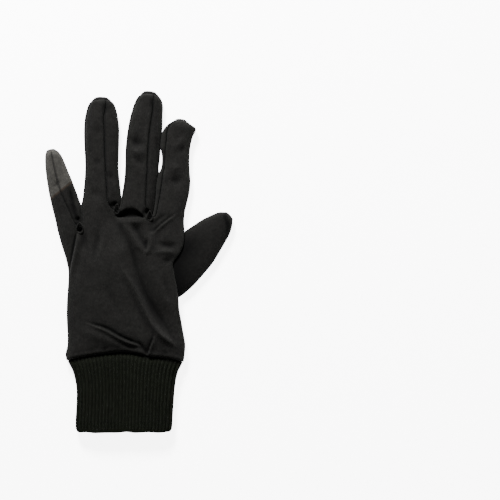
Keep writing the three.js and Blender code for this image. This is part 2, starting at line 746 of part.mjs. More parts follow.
// The thumb is one tube, open where it meets the palm: above its lower cloth, nothing of it
// reaches further under the hand than its tuck
function makeThumb() {
  const side = thumbHigh * widestShare;
  const points = [];
  const triangles = [];
  const rings = thumbOutline.map((row) => {
    const left = thumbPoint(row.at, row.left);
    const right = thumbPoint(row.at, row.right);
    const share = tipShare((1 - row.at) * thumbLong, thumbHigh);
    const ring = sectionRing(left.distanceTo(right), -thumbSeam, thumbSeam,
      side * (1 - share), side, mix(side, thumbHigh, share), thumbTopCells);
    return ring.map((p) => {
      const spot = left.clone().lerp(right, (p.across + 1) / 2);
      points.push(new THREE.Vector3(spot.x, spot.y, p.z));
      return points.length - 1;
    });
  });
  for (let r = 0; r < rings.length - 1; r += 1) {
    for (let c = 0; c < rings[r].length; c += 1) {
      const d = (c + 1) % rings[r].length;
      triangles.push([rings[r][c], rings[r][d], rings[r + 1][d]], [rings[r][c], rings[r + 1][d], rings[r + 1][c]]);
    }
  }
  const last = thumbOutline.at(-1);
  const tip = thumbPoint(1, (last.left + last.right) / 2);
  points.push(new THREE.Vector3(tip.x, tip.y, side));
  const tipId = points.length - 1;
  const first = thumbPoint(thumbOutline[0].at, 0);
  points.push(new THREE.Vector3(first.x, first.y, side));
  const rootId = points.length - 1;
  const end = rings.at(-1);
  end.forEach((id, c) => triangles.push([id, end[(c + 1) % end.length], tipId]));
  rings[0].forEach((id, c) => triangles.push([rings[0][(c + 1) % rings[0].length], id, rootId]));
  const { normals, stretch } = skinNormals(points, triangles);
  const inside = points.map((p, i) => p.clone().addScaledVector(normals[i], -clothWall * stretch[i]));
  const shell = solidOf({ points, triangles }).subtract(solidOf({ points: inside, triangles }));
  return meshOf(shell.subtract(underHand()));
}

// The space under the back of the hand that the thumb's upper cloth stays out of
function underHand() {
  const edge = handTable.map((row) => {
    const s = handSection(row.at);
    return new THREE.Vector2(s.right - thumbTuck, mix(hemHeight(1), fingers.at(-1).baseRight.y, row.at));
  });
  const far = palmWide;
  const outline = [...edge, new THREE.Vector2(-far, edge.at(-1).y), new THREE.Vector2(-far, edge[0].y)];
  return block(outline, clothWall + seamGap, handHigh * 2);
}

function makePalm(normals, stretch) {
  const piece = clothPiece(skin.faces.palm_panel, normals, stretch);
  return meshOf(solidOf(piece).subtract(block(thumbPlan(seamGap), -handHigh, handHigh * 2)));
}

// The cuff's outline at a share of its length, drawn in by an inset on all sides
function cuffOutline(at, inset) {
  const left = cuffWide * readTable(cuffTable, at, 'left');
  const right = cuffWide * readTable(cuffTable, at, 'right');
  return { left: left + inset, right: right - inset, low: inset, high: cuffHigh - inset };
}

// Points evenly spaced round a cuff section, from -1 to 1 across and back
function cuffRing(at, inset, count, rib) {
  const o = cuffOutline(at, inset);
  const half = (o.right - o.left) / 2;
  const middle = (o.low + o.high) / 2;
  const rise = (o.high - o.low) / 2;
  const path = [];
  for (let i = 0; i <= cuffSteps; i += 1) {
    const angle = (2 * Math.PI * i) / cuffSteps;
    const c = Math.cos(angle);
    const s = Math.sin(angle);
    path.push(new THREE.Vector3(
      half * Math.sign(c) * Math.abs(c) ** cuffBow, 0, rise * Math.sign(s) * Math.abs(s) ** cuffCrown));
  }
  const lengths = [0];
  for (let i = 1; i <= cuffSteps; i += 1) lengths.push(lengths[i - 1] + path[i].distanceTo(path[i - 1]));
  const ring = [];
  let j = 0;
  for (let k = 0; k < count; k += 1) {
    const goal = (lengths[cuffSteps] * k) / count;
    while (lengths[j + 1] < goal) j += 1;
    const p = path[j].clone().lerp(path[j + 1], (goal - lengths[j]) / (lengths[j + 1] - lengths[j]));
    const run = path[j + 1].clone().sub(path[j]).normalize();
    const inward = new THREE.Vector3(-run.z, 0, run.x);
    p.addScaledVector(inward, rib && k % 2 ? ribDeep : 0);
    const across = p.x / half;
    const top = hemHeight(Math.max(-1, Math.min(1, across))) - seamGap / 2;
    const bottom = -palmLong / 2 - cuffLong;
    ring.push(new THREE.Vector3(p.x + (o.left + o.right) / 2, mix(top, bottom, at), Math.max(0, p.z + middle)));
  }
  return ring;
}

function makeCuff() {
  const outline = cuffOutline(ribsCountedAt, 0);
  const ribs = Math.round((2 * (outline.right - outline.left)) / ribPitch);
  const rings = [
    ...cuffOuterRows.map((at) => cuffRing(at, 0, ribs * 2, true)),
    cuffRing(1, cuffWall / 2, ribs, false),
    ...cuffInnerRows.map((at) => cuffRing(at, cuffWall, ribs, false)),
  ];
  const points = rings.flat();
  const starts = rings.map((ring, i) => rings.slice(0, i).reduce((sum, r) => sum + r.length, 0));
  const triangles = [];
  for (let r = 0; r < rings.length; r += 1) {
    const n = (r + 1) % rings.length;
    const id = (row, k) => starts[row] + (k % rings[row].length);
    const twice = rings[r].length === 2 * rings[n].length;
    const half = 2 * rings[r].length === rings[n].length;
    for (let k = 0; k < Math.min(rings[r].length, rings[n].length); k += 1) {
      if (twice) {
        triangles.push([id(r, 2 * k), id(r, 2 * k + 1), id(n, k)],
          [id(r, 2 * k + 1), id(n, k + 1), id(n, k)],
          [id(r, 2 * k + 1), id(r, 2 * k + 2), id(n, k + 1)]);
      } else if (half) {
        triangles.push([id(r, k), id(n, 2 * k + 1), id(n, 2 * k)],
          [id(r, k), id(r, k + 1), id(n, 2 * k + 1)],
          [id(r, k + 1), id(n, 2 * k + 2), id(n, 2 * k + 1)]);
      } else {
        triangles.push([id(r, k), id(r, k + 1), id(n, k + 1)], [id(r, k), id(n, k + 1), id(n, k)]);
      }
    }
  }
  return { points, triangles };
}

function addMesh(group, name, shape, colour) {
  const material = new THREE.MeshStandardMaterial({ color: colour, roughness: 0.9, metalness: 0 });
  const mesh = new THREE.Mesh(geometryOf(shape), material);
  mesh.name = name;
  group.add(mesh);
}

placeFingers();
pressEdges();
fingers.forEach(addFingerRings);
fingers.forEach(addFingerFaces);
fingers.slice(0, -1).forEach((finger, index) => addCrotch(index));
addHand();

const { normals, stretch } = skinNormals(skin.points, Object.values(skin.faces).flat());

const glove = new THREE.Group();
addMesh(glove, 'back_panel', clothPiece(skin.faces.back_panel, normals, stretch), colours.back_panel);
addMesh(glove, 'palm_panel', makePalm(normals, stretch), colours.palm_panel);
for (let i = 0; i < fingers.length - 1; i += 1) {
  const name = fourchetteName(i);
  addMesh(glove, name, clothPiece(skin.faces[name], normals, stretch), colours.fourchette);
}
addMesh(glove, 'thumb', makeThumb(), colours.thumb);
addMesh(glove, 'cuff', makeCuff(), colours.cuff);

export default glove;
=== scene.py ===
import math

import bpy
import numpy as np
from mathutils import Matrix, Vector, noise
from mathutils.kdtree import KDTree


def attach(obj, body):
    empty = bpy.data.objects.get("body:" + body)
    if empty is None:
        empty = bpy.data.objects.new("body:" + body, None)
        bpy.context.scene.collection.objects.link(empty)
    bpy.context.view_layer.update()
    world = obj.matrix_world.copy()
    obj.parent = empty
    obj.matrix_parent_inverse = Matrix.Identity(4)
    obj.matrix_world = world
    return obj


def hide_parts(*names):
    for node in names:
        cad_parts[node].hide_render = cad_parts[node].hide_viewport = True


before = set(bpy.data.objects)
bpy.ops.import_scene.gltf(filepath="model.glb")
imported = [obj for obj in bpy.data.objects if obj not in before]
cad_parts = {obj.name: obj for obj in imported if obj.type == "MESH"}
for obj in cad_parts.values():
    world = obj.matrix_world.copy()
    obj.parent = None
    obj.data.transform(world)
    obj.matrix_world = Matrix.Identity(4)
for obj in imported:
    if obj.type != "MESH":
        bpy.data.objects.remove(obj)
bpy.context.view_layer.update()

# The glove is drawn in millimetres in the frame's own axes and turned into metres at the end.
# The lengths, outlines and seams repeat the named sizes that the solids are made from.
glove = {
    "palmLong": 106, "palmWide": 83, "handHigh": 11.5, "fingerHigh": 8,
    "clothWall": 0.8,        # thickness of the knit
    "fingerGap": -0.4, "thumbGap": 0.3, "crotchGap": 1.8, "crotchBow": 1.0,
    "sideRound": 4, "fingerCrown": 2.3, "handCrown": 2.5, "widestShare": 0.42,
    "lowSeamAngle": -math.pi / 3, "tipRound": 0.8, "knuckleBlendStart": 0.7,
    "liftStart": 0.2, "tipSeamAt": 0.955, "tipBow": 0.024, "narrowestHalf": 1.2,
    "fine": 6,               # cells of the cloth to each cell of the solids
    "sideFine": 4, "sideCells": 4, "crotchCells": 4,
    "handRows": 160, "fingerRows": 90, "rootCrowding": 1.05, "tipRows": (0.3, 0.55, 0.75, 0.88, 0.96),
    "tipBowFrom": 0.84,      # share of a finger's length above which its rows bow towards the tip
    "gapsClosed": ((60.5, 69.5), (63.0, 73.0), (86.0, 92.0)),   # closed up to, open from, for each gap
    "touching": -0.5, "crotchLeft": 0.3, "crotchCloses": (0.5, 3),
}

# Outlines of the fingers: share of the length, then both edges and both seams as shares of the width
littleOutline = [
    (0.0, -0.49, 0.5, -0.4, 0.36), (0.05, -0.485, 0.58, -0.4, 0.33), (0.12, -0.48, 0.65, -0.4, 0.27),
    (0.24, -0.495, 0.72, -0.4, 0.18), (0.36, -0.505, 0.73, -0.4, 0.08),
    (0.48, -0.505, 0.67, -0.395, 0.01), (0.6, -0.485, 0.605, -0.37, -0.02),
    (0.72, -0.45, 0.52, -0.35, -0.03), (0.82, -0.405, 0.46, -0.31, -0.03),
    (0.9, -0.345, 0.385, -0.27, -0.02), (0.955, -0.285, 0.285, -0.22, -0.01),
    (0.985, -0.22, 0.17, -0.17, 0),
]
ringOutline = [
    (0.0, -0.5, 0.52, -0.45, 0.44), (0.05, -0.49, 0.6, -0.44, 0.33), (0.12, -0.51, 0.61, -0.46, 0.24),
    (0.24, -0.49, 0.565, -0.44, 0.196), (0.36, -0.45, 0.527, -0.4, 0.168),
    (0.48, -0.435, 0.528, -0.385, 0.14), (0.6, -0.462, 0.534, -0.41, 0.12),
    (0.72, -0.482, 0.532, -0.435, 0.105), (0.82, -0.468, 0.49, -0.42, 0.085),
    (0.9, -0.41, 0.43, -0.36, 0.14), (0.955, -0.32, 0.33, -0.27, 0.13),
    (0.985, -0.2, 0.205, -0.15, 0.1),
]
middleOutline = [
    (0.0, -0.45, 0.46, -0.41, 0.4), (0.05, -0.45, 0.505, -0.4, 0.27),
    (0.12, -0.443, 0.52, -0.39, 0.243), (0.24, -0.43, 0.513, -0.36, 0.217),
    (0.36, -0.447, 0.517, -0.385, 0.191), (0.48, -0.488, 0.52, -0.44, 0.168),
    (0.6, -0.498, 0.502, -0.45, 0.145), (0.72, -0.48, 0.495, -0.435, 0.145),
    (0.82, -0.435, 0.463, -0.39, 0.165), (0.9, -0.37, 0.435, -0.32, 0.155),
    (0.955, -0.27, 0.34, -0.22, 0.14), (0.985, -0.17, 0.21, -0.12, 0.12),
]
indexOutline = [
    (0.0, -0.515, 0.505, -0.42, 0.42), (0.05, -0.5, 0.503, -0.395, 0.42),
    (0.12, -0.48, 0.533, -0.375, 0.43), (0.24, -0.505, 0.58, -0.35, 0.47),
    (0.36, -0.515, 0.58, -0.335, 0.47), (0.48, -0.42, 0.515, -0.32, 0.42),
    (0.6, -0.43, 0.472, -0.335, 0.38), (0.72, -0.54, 0.463, -0.35, 0.37),
    (0.82, -0.53, 0.503, -0.355, 0.4), (0.9, -0.425, 0.545, -0.31, 0.44),
    (0.955, -0.255, 0.375, -0.165, 0.28), (0.985, -0.11, 0.235, -0.04, 0.16),
]
fingers = [
    {"name": "little", "long": 61.9, "wide": 17, "lean": -12.2, "topCells": 4, "outline": littleOutline},
    {"name": "ring", "long": 91.4, "wide": 26, "lean": 0.7, "topCells": 5, "outline": ringOutline},
    {"name": "middle", "long": 91.8, "wide": 26, "lean": 6.5, "topCells": 5, "outline": middleOutline},
    {"name": "index", "long": 73.5, "wide": 23, "lean": 5.8, "topCells": 4, "outline": indexOutline},
]
knuckleRise = [-0.083, -0.061, 0.073, 0.024, 0.024]
knuckleShift = -0.028
handTable = [   # at, left, right, high, lift
    (0.0, -0.52, 0.54, 0.82, 0), (0.05, -0.53, 0.55, 0.93, 0), (0.12, -0.513, 0.555, 1.0, 0),
    (0.2, -0.512, 0.538, 1.0, 0), (0.28, -0.517, 0.519, 1.0, 0.15), (0.36, -0.52, 0.5, 1.0, 0.6),
    (0.42, -0.519, 0.495, 0.99, 1), (0.48, -0.516, 0.49, 0.98, 1), (0.55, -0.51, 0.474, 0.97, 1),
    (0.62, -0.505, 0.456, 0.95, 1), (0.68, -0.503, 0.45, 0.93, 1), (0.73, -0.511, 0.497, 0.9, 1),
    (0.78, -0.524, 0.532, 0.87, 1), (0.84, -0.545, 0.544, 0.84, 0.88), (0.89, -0.564, 0.543, 0.81, 0.64),
    (0.93, -0.577, 0.538, 0.77, 0.4), (0.97, -0.59, 0.536, 0.73, 0.15), (1.0, -0.601, 0.54, 0.7, 0),
]
hemLine = [(-1, 0), (-0.77, 0.024), (-0.32, 0.052), (0, 0.061), (0.28, 0.044), (0.44, 0.028),
           (0.68, 0.02), (0.88, 0.004), (1, -0.009)]


def mix(a, b, share):
    return a + (b - a) * share


def smoothStep(low, high, value):
    t = np.clip((value - low) / (high - low), 0, 1)
    return t * t * (3 - 2 * t)


def readTable(rows, place, column):   # smoothly between the rows
    i = 0
    while i < len(rows) - 2 and place > rows[i + 1][0]:
        i += 1

    def slope(j):
        low, high = rows[max(0, j - 1)], rows[min(len(rows) - 1, j + 1)]
        return (high[column] - low[column]) / (high[0] - low[0])

    a, b = rows[i], rows[i + 1]
    span = b[0] - a[0]
    t = min(1, max(0, (place - a[0]) / span))
    return ((2 * t ** 3 - 3 * t ** 2 + 1) * a[column] + (t ** 3 - 2 * t ** 2 + t) * span * slope(i)
            + (3 * t ** 2 - 2 * t ** 3) * b[column] + (t ** 3 - t ** 2) * span * slope(i + 1))


def topHeight(across, side, high, crown):
    return side + (high - side) * max(0, 1 - abs(across) ** crown) ** (1 / crown)


def sideChain(seamAcross, flat, side, high, crown, panelsMeet):
    bow = math.acos(min(1, abs(seamAcross)) ** (crown / 2))
    start = bow if seamAcross >= 0 else math.pi - bow
    cells = glove["sideCells"] * glove["sideFine"]
    half = cells / 2
    chain = []
    for k in range(1, cells):
        angle = mix(start, glove["lowSeamAngle"], k / cells)
        if panelsMeet:
            angle = mix(start, 0, k / half) if k <= half else mix(0, glove["lowSeamAngle"], k / half - 1)
        if angle > 0:
            reach = abs(math.cos(angle)) ** (2 / crown)
            z = side + (high - side) * math.sin(angle) ** (2 / crown)
            chain.append((math.copysign(reach, math.cos(angle)), z))
        else:
            chain.append((mix(flat, 1, math.cos(angle)), side * (1 + math.sin(angle))))
    return chain


def sectionRing(width, seamLeft, seamRight, base, side, high, topCells, outer):
    flat = 1 - glove["sideRound"] / max(width / 2, glove["sideRound"] * glove["narrowestHalf"])
    fine = glove["fine"]
    ring = []
    count = topCells * fine
    for i in range(count + 1):
        across = mix(seamLeft, seamRight, i / count)
        ring.append((across, topHeight(across, side, high, glove["fingerCrown"]), "top"))
    for p in sideChain(seamRight, flat, side, high, glove["fingerCrown"], "right" in outer):
        ring.append((*p, "right"))
    turn = []
    for i in range(fine):
        angle = mix(glove["lowSeamAngle"], -math.pi / 2, i / fine)
        turn.append((mix(flat, 1, math.cos(angle)), side * (1 + math.sin(angle))))
    ring += [(a, z, "bottom") for a, z in turn]
    low = (topCells - 2) * fine
    ring += [(mix(flat, -flat, i / low), 0.0, "bottom") for i in range(low + 1)]
    ring += [(-a, z, "bottom") for a, z in reversed(turn)]
    left = sideChain(-seamLeft, flat, side, high, glove["fingerCrown"], "left" in outer)
    ring += [(-a, z, "left") for a, z in reversed(left)]
    return [(a, mix(base, side, z / side) if z < side else z, part) for a, z, part in ring]


def tipShare(fromTip, high):   # how much of its full height the cloth has this near a tip
    reach = high * glove["tipRound"]
    return 1 if fromTip >= reach else math.sqrt(max(0, 1 - ((reach - fromTip) / reach) ** 2))


def placeFingers():
    widths = [f["wide"] * (f["outline"][0][2] - f["outline"][0][1]) for f in fingers]
    x = glove["palmWide"] * knuckleShift - (sum(widths) + glove["crotchGap"] * 3) / 2
    for i, f in enumerate(fingers):
        lean = math.radians(f["lean"])
        f["along"] = np.array((math.sin(lean), math.cos(lean)))
        f["across"] = np.array((math.cos(lean), -math.sin(lean)))
        f["baseLeft"] = np.array((x, glove["palmLong"] * (0.5 + knuckleRise[i])))
        f["baseRight"] = np.array((x + widths[i], glove["palmLong"] * (0.5 + knuckleRise[i + 1])))
        f["base"] = (f["baseLeft"] + f["baseRight"]) / 2
        x += widths[i] + glove["crotchGap"]


def fingerPoint(f, side, at, share):
    start = (f["baseLeft" if side == "left" else "baseRight"] - f["base"]) @ f["along"]
    return f["base"] + f["along"] * mix(start, f["long"], at) + f["across"] * share * f["wide"]


def outlineAt(f, at):   # left, right, seamLeft, seamRight, closing in an ellipse past the last row
    last = f["outline"][-1]
    if at <= last[0]:
        return [readTable(f["outline"], at, column) for column in (1, 2, 3, 4)]
    shrink = math.sqrt(max(0, 1 - ((at - last[0]) / (1 - last[0])) ** 2))
    middle = (last[1] + last[2]) / 2
    return [middle + (last[column] - middle) * shrink for column in (1, 2, 3, 4)]


def fingerPlaces():   # shares of a finger's length, a few of them past the outline's last row
    count = glove["fingerRows"]
    last = ringOutline[-1][0]
    places = [last * (i / count) ** glove["rootCrowding"] for i in range(count + 1)]
    return places + [mix(last, 1, share) for share in glove["tipRows"]]


def pressEdges():
    for i, f in enumerate(fingers):
        f["rows"] = []
        for at in fingerPlaces():
            left, right, seamLeft, seamRight = outlineAt(f, at)
            f["rows"].append({"at": at, "left": left, "right": right, "seamLeft": seamLeft,
                              "seamRight": seamRight, "leftPoint": fingerPoint(f, "left", at, left),
                              "rightPoint": fingerPoint(f, "right", at, right)})
        if i == 0:
            continue
        edge = np.array([row["rightPoint"] for row in fingers[i - 1]["rows"]])
        for row in f["rows"]:
            x, y = row["leftPoint"]
            if edge[0, 1] < y < edge[-1, 1]:
                pressed = np.interp(y, edge[:, 1], edge[:, 0]) + glove["fingerGap"]
                row["leftPoint"] = np.array((max(x, pressed), y))
    for i, (closedTo, openFrom) in enumerate(glove["gapsClosed"]):
        closeGap(fingers[i], fingers[i + 1], closedTo, openFrom)


# The strips of two fingers touch from just above their crotch up to a height
def closeGap(left, right, closedTo, openFrom):
    nearEdge = np.array([row["rightPoint"] for row in left["rows"]])
    farEdge = np.array([row["leftPoint"] for row in right["rows"]])
    for rows, key, sign in ((left["rows"], "rightPoint", -1), (right["rows"], "leftPoint", 1)):
        for row in rows:
            y = row[key][1]
            a = np.interp(y, nearEdge[:, 1], nearEdge[:, 0])
            b = np.interp(y, farEdge[:, 1], farEdge[:, 0])
            aboveCrotch = float(smoothStep(*glove["crotchCloses"], y - nearEdge[0, 1]))
            closed = mix(glove["crotchLeft"], glove["touching"], aboveCrotch)
            gap = mix(closed, b - a, float(smoothStep(closedTo, openFrom, y)))
            if gap < b - a:
                row[key] = np.array(((a + b) / 2 + sign * gap / 2, y))


# The outer skin of the hand and the fingers: its points, its faces by piece, and for each point its region
# (finger 0 to 3, crotch 4 to 6 or hand 8), its place along and across it, how far up it is, and 1 if below
skin = {"points": [], "region": [], "faces": {}}
firstCrotch = 4
handRegion = 8


def addPoint(x, y, z, region):
    skin["points"].append((x, y, z))
    skin["region"].append(region)
    return len(skin["points"]) - 1


def addFace(piece, *corners):
    skin["faces"].setdefault(piece, []).append(corners)


def fourchetteName(index):
    return f"fourchette_{fingers[index]['name']}_{fingers[index + 1]['name']}"


def idsOf(ring, part):
    return [i for i, p in ring if p == part]


def addFingerRings(index):
    f = fingers[index]
    side = glove["fingerHigh"] * glove["widestShare"]
    outer = {0: ("left",), 3: ("right",)}.get(index, ())
    f["rings"] = []
    for row in f["rows"]:
        share = tipShare((1 - row["at"]) * f["long"], glove["fingerHigh"])
        middle = (row["left"] + row["right"]) / 2
        half = (row["right"] - row["left"]) / 2
        width = np.linalg.norm(row["rightPoint"] - row["leftPoint"])
        high = mix(side, glove["fingerHigh"], share)
        ring = sectionRing(width, (row["seamLeft"] - middle) / half, (row["seamRight"] - middle) / half,
                           side * (1 - share), side, high, f["topCells"], outer)
        bow = glove["tipBow"] * float(smoothStep(glove["tipBowFrom"], glove["tipSeamAt"], row["at"]))
        bow *= min(1, (1 - row["at"]) / (1 - glove["tipSeamAt"]))
        ids = []
        for across, z, part in ring:
            ahead = bow * (1 - across ** 2)
            x, y = mix(row["leftPoint"], row["rightPoint"], (across + 1) / 2) + f["along"] * f["long"] * ahead
            lower = tipShare((1 - row["at"] - ahead) * f["long"], glove["fingerHigh"]) / max(share, 0.01)
            upper = max(0, (z - side) / (high - side))
            z = side + (z - side) * lower
            region = (index, row["at"], across, upper, 1.0 if part == "bottom" else 0.0)
            ids.append((addPoint(x, y, z, region), part))
        f["rings"].append(ids)
    last = f["outline"][-1]
    tip = fingerPoint(f, "left", 1, (last[1] + last[2]) / 2)
    f["tip"] = addPoint(tip[0], tip[1], side, (index, 1.0, 0.0, 0.0, 0.0))


def outerSidePiece(ring, column):
    part = ring[column][1]
    if part == "top":
        return "back_panel"
    if part == "bottom":
        return "palm_panel"
    first = next(i for i, p in enumerate(ring) if p[1] == part)
    half = glove["sideCells"] * glove["sideFine"] / 2
    step = column - first + 1
    upper = step < half if part == "right" else step >= half
    return "back_panel" if upper else "palm_panel"


def fingerCellPiece(index, ring, column, at):
    part, following = ring[column][1], ring[(column + 1) % len(ring)][1]
    if part == "bottom" and following == "bottom":
        return "palm_panel"
    if at >= glove["tipSeamAt"]:
        return "palm_panel"
    if part == "top" and following == "top":
        return "back_panel"
    rightSide = "right" in (part, following)
    if rightSide and index < 3:
        return fourchetteName(index)
    if not rightSide and index > 0:
        return fourchetteName(index - 1)
    return outerSidePiece(ring, column)


def addFingerFaces(index):
    f = fingers[index]
    rings = f["rings"]
    for r in range(len(rings) - 1):
        for c in range(len(rings[r])):
            d = (c + 1) % len(rings[r])
            piece = fingerCellPiece(index, rings[r], c, f["rows"][r]["at"])
            addFace(piece, rings[r][c][0], rings[r][d][0], rings[r + 1][d][0], rings[r + 1][c][0])
    end = rings[-1]
    for c in range(len(end)):
        addFace("palm_panel", end[c][0], end[(c + 1) % len(end)][0], f["tip"])


def addCrotch(index):   # the short wall at the bottom of the gap between two fingers
    left, right = fingers[index]["rings"][0], fingers[index + 1]["rings"][0]
    near = [idsOf(left, "top")[-1], *idsOf(left, "right"), idsOf(left, "bottom")[0]]
    far = [idsOf(right, "top")[0], *reversed(idsOf(right, "left")), idsOf(right, "bottom")[-1]]
    cells = glove["crotchCells"]
    columns = [near]
    for j in range(1, cells):
        column = []
        for a, b in zip(near, far):
            p = mix(np.array(skin["points"][a]), np.array(skin["points"][b]), j / cells)
            p[1] -= glove["crotchBow"] * math.sin(math.pi * j / cells)
            column.append(addPoint(*p, (firstCrotch + index, 0.0, 0.0, 0.0, 0.0)))
        columns.append(column)
    columns.append(far)
    for j in range(cells):
        for k in range(len(near) - 1):
            here, there = columns[j], columns[j + 1]
            addFace(fourchetteName(index), here[k], there[k], there[k + 1], here[k + 1])
    return [c[0] for c in columns[1:-1]], [c[-1] for c in columns[1:-1]]


def hemHeight(across):
    return glove["palmLong"] * (-0.5 + readTable(hemLine, across, 1))


def handSection(at):
    flare = float(smoothStep(glove["knuckleBlendStart"], 1, at))
    last = handTable[-1]
    leftSlip = fingers[0]["baseLeft"][0] - glove["palmWide"] * last[1]
    rightSlip = fingers[3]["baseRight"][0] - glove["palmWide"] * last[2]
    return {
        "left": glove["palmWide"] * readTable(handTable, at, 1) + leftSlip * flare,
        "right": glove["palmWide"] * readTable(handTable, at, 2) + rightSlip * flare,
        "high": glove["handHigh"] * readTable(handTable, at, 3),
        "side": glove["handHigh"] * glove["widestShare"],
        "lift": readTable(handTable, at, 4), "flare": flare,
    }


def handEdge():   # the hand's right edge in plan
    top = fingers[3]["baseRight"][1]
    return [(handSection(row[0])["right"], mix(hemHeight(1), top, row[0])) for row in handTable]


def liftOverThumb(z, across, s):
    side = mix(s["side"], glove["fingerHigh"] * glove["widestShare"], s["flare"])
    high = mix(s["high"], glove["fingerHigh"], s["flare"])
    overThumb = max(side, thumb["high"] + glove["thumbGap"])
    lifted = mix(side, overThumb, s["lift"] * float(smoothStep(glove["liftStart"], 1, across)))
    return z * lifted / side if z < side else lifted + (z - side) * (high - lifted) / (high - side)


thumb = {
    "long": 52, "wide": 34, "high": 6.8, "lean": 47.5, "root": (83 * 0.523, 106 * 0.178), "tuck": 3,
    "seamPath": [(77.0, 39.5), (77.9, 43.0), (77.6, 47.5), (76.6, 51.5), (75.2, 55.0)],
    "seam": 0.6, "topCells": 4, "rows": 60, "tipRows": (0.4, 0.7, 0.9), "holeGap": 0.15, "handAbove": 0.3,
    "outline": [(-0.46, -0.3, 0.3), (-0.42, -0.42, 0.42), (-0.34, -0.49, 0.49), (-0.1, -0.51, 0.51),
                (0.12, -0.51, 0.48), (0.35, -0.505, 0.43), (0.52, -0.47, 0.355), (0.67, -0.43, 0.285),
                (0.81, -0.365, 0.21), (0.91, -0.305, 0.12), (0.975, -0.215, 0.035)],
}


def knuckleRing(crotches):
    top, bottom = [], []
    for i, f in enumerate(fingers):
        top += idsOf(f["rings"][0], "top")
        bottom += list(reversed(idsOf(f["rings"][0], "bottom")))
        if i < 3:
            top += crotches[i][0]
            bottom += crotches[i][1]
    right = idsOf(fingers[3]["rings"][0], "right")
    left = idsOf(fingers[0]["rings"][0], "left")
    order = [("top", top), ("right", right), ("bottom", bottom[::-1]), ("left", left)]
    return [(i, part) for part, ids in order for i in ids]


def addHand(crotches):
    knuckles = knuckleRing(crotches)
    leftX, rightX = fingers[0]["baseLeft"][0], fingers[3]["baseRight"][0]
    columns = []
    for i, part in knuckles:
        x, y, z = skin["points"][i]
        columns.append((part, x, y, z, (2 * x - leftX - rightX) / (rightX - leftX)))
    tops = [c[4] for c in columns if c[0] == "top"]
    rings = []
    rows = glove["handRows"]
    for r in range(rows):
        at = r / rows
        s = handSection(at)
        flat = 1 - glove["sideRound"] / ((s["right"] - s["left"]) / 2)
        right = sideChain(tops[-1], flat, s["side"], s["high"], glove["handCrown"], True)
        left = sideChain(-tops[0], flat, s["side"], s["high"], glove["handCrown"], True)
        chain = right + [(-a, z) for a, z in reversed(left)]
        ring = []
        for part, _, y0, z0, across0 in columns:
            across = max(-1, min(1, across0))
            z = 0.0
            if part == "top":
                z = topHeight(across, s["side"], s["high"], glove["handCrown"])
            elif part == "bottom" and abs(across) > flat:
                bend = min(1, (abs(across) - flat) / (1 - flat))
                z = s["side"] * (1 - math.sqrt(1 - bend * bend))
            elif part in ("left", "right"):
                reach, z = chain.pop(0)
                across = mix(reach, across0, s["flare"])
            z = liftOverThumb(mix(z, z0, s["flare"]), across, s)
            x = mix(s["left"], s["right"], (across + 1) / 2)
            y = mix(hemHeight(across), y0, at)
            upper = max(0, (z - s["side"]) / (s["high"] - s["side"]))
            if part in ("top", "bottom"):
                upper = 1.0 if part == "top" else 0.0
            below = 1.0 if part == "bottom" else 0.0
            ring.append((addPoint(x, y, z, (handRegion, at, across, upper, below)), part))
        rings.append(ring)
    rings.append(knuckles)
    for r in range(rows):
        ring = rings[r]
        for c in range(len(ring)):
            d = (c + 1) % len(ring)
            part, following = ring[c][1], ring[d][1]
            piece = outerSidePiece(ring, c)
            if part == "top" and following == "top":
                piece = "back_panel"
            if part == "bottom" and following == "left":
                piece = "palm_panel"
            addFace(piece, ring[c][0], ring[d][0], rings[r + 1][d][0], rings[r + 1][c][0])


placeFingers()
pressEdges()
for index in range(4):
    addFingerRings(index)
for index in range(4):
    addFingerFaces(index)
addHand([addCrotch(index) for index in range(3)])
points = np.array(skin["points"])
region = np.array(skin["region"])
pieceNames = list(skin["faces"])
allFaces = [(name, face) for name in pieceNames for face in skin["faces"][name]]
print("skin of the hand and fingers:", len(points), "points,", len(allFaces), "faces")


def pointNormals(spots, faces):
    quads = np.array([face if len(face) == 4 else (*face, face[2]) for face in faces])
    a, b, c, d = (spots[quads[:, k]] for k in range(4))
    flat = np.cross(c - a, d - b)
    normals = np.zeros_like(spots)
    for k in range(4):
        np.add.at(normals, quads[:, k], flat)
    lengths = np.linalg.norm(normals, axis=1, keepdims=True)
    return normals / np.maximum(lengths, 1e-9)


def neighbours(faces):   # the edges of the faces, each once
    quads = np.array([face if len(face) == 4 else (*face, face[2]) for face in faces])
    pairs = np.concatenate([quads[:, (k, (k + 1) % 4)] for k in range(4)])
    pairs = np.unique(np.sort(pairs, axis=1), axis=0)
    return pairs[pairs[:, 0] != pairs[:, 1]]


def smoothPoints(spots, pairs, weight, times):
    degree = np.zeros(len(spots))
    np.add.at(degree, pairs[:, 0], 1)
    np.add.at(degree, pairs[:, 1], 1)
    for _ in range(times):
        total = np.zeros_like(spots)
        np.add.at(total, pairs[:, 0], spots[pairs[:, 1]])
        np.add.at(total, pairs[:, 1], spots[pairs[:, 0]])
        spots = spots + weight[:, None] * (total / np.maximum(degree, 1)[:, None] - spots)
    return spots


faceList = [face for _, face in allFaces]
pairs = neighbours(faceList)

# The cloth is rounded off where the fingers and the hand join
knuckleSoftness = {"handFrom": 0.86, "fingerTo": 0.1, "weight": 0.5, "times": 12}
onHand = region[:, 0] == handRegion
nearKnuckles = np.where(onHand, smoothStep(knuckleSoftness["handFrom"], 1, region[:, 1]),
                        smoothStep(knuckleSoftness["fingerTo"], 0, region[:, 1]))
points = smoothPoints(points, pairs, knuckleSoftness["weight"] * nearKnuckles, knuckleSoftness["times"])


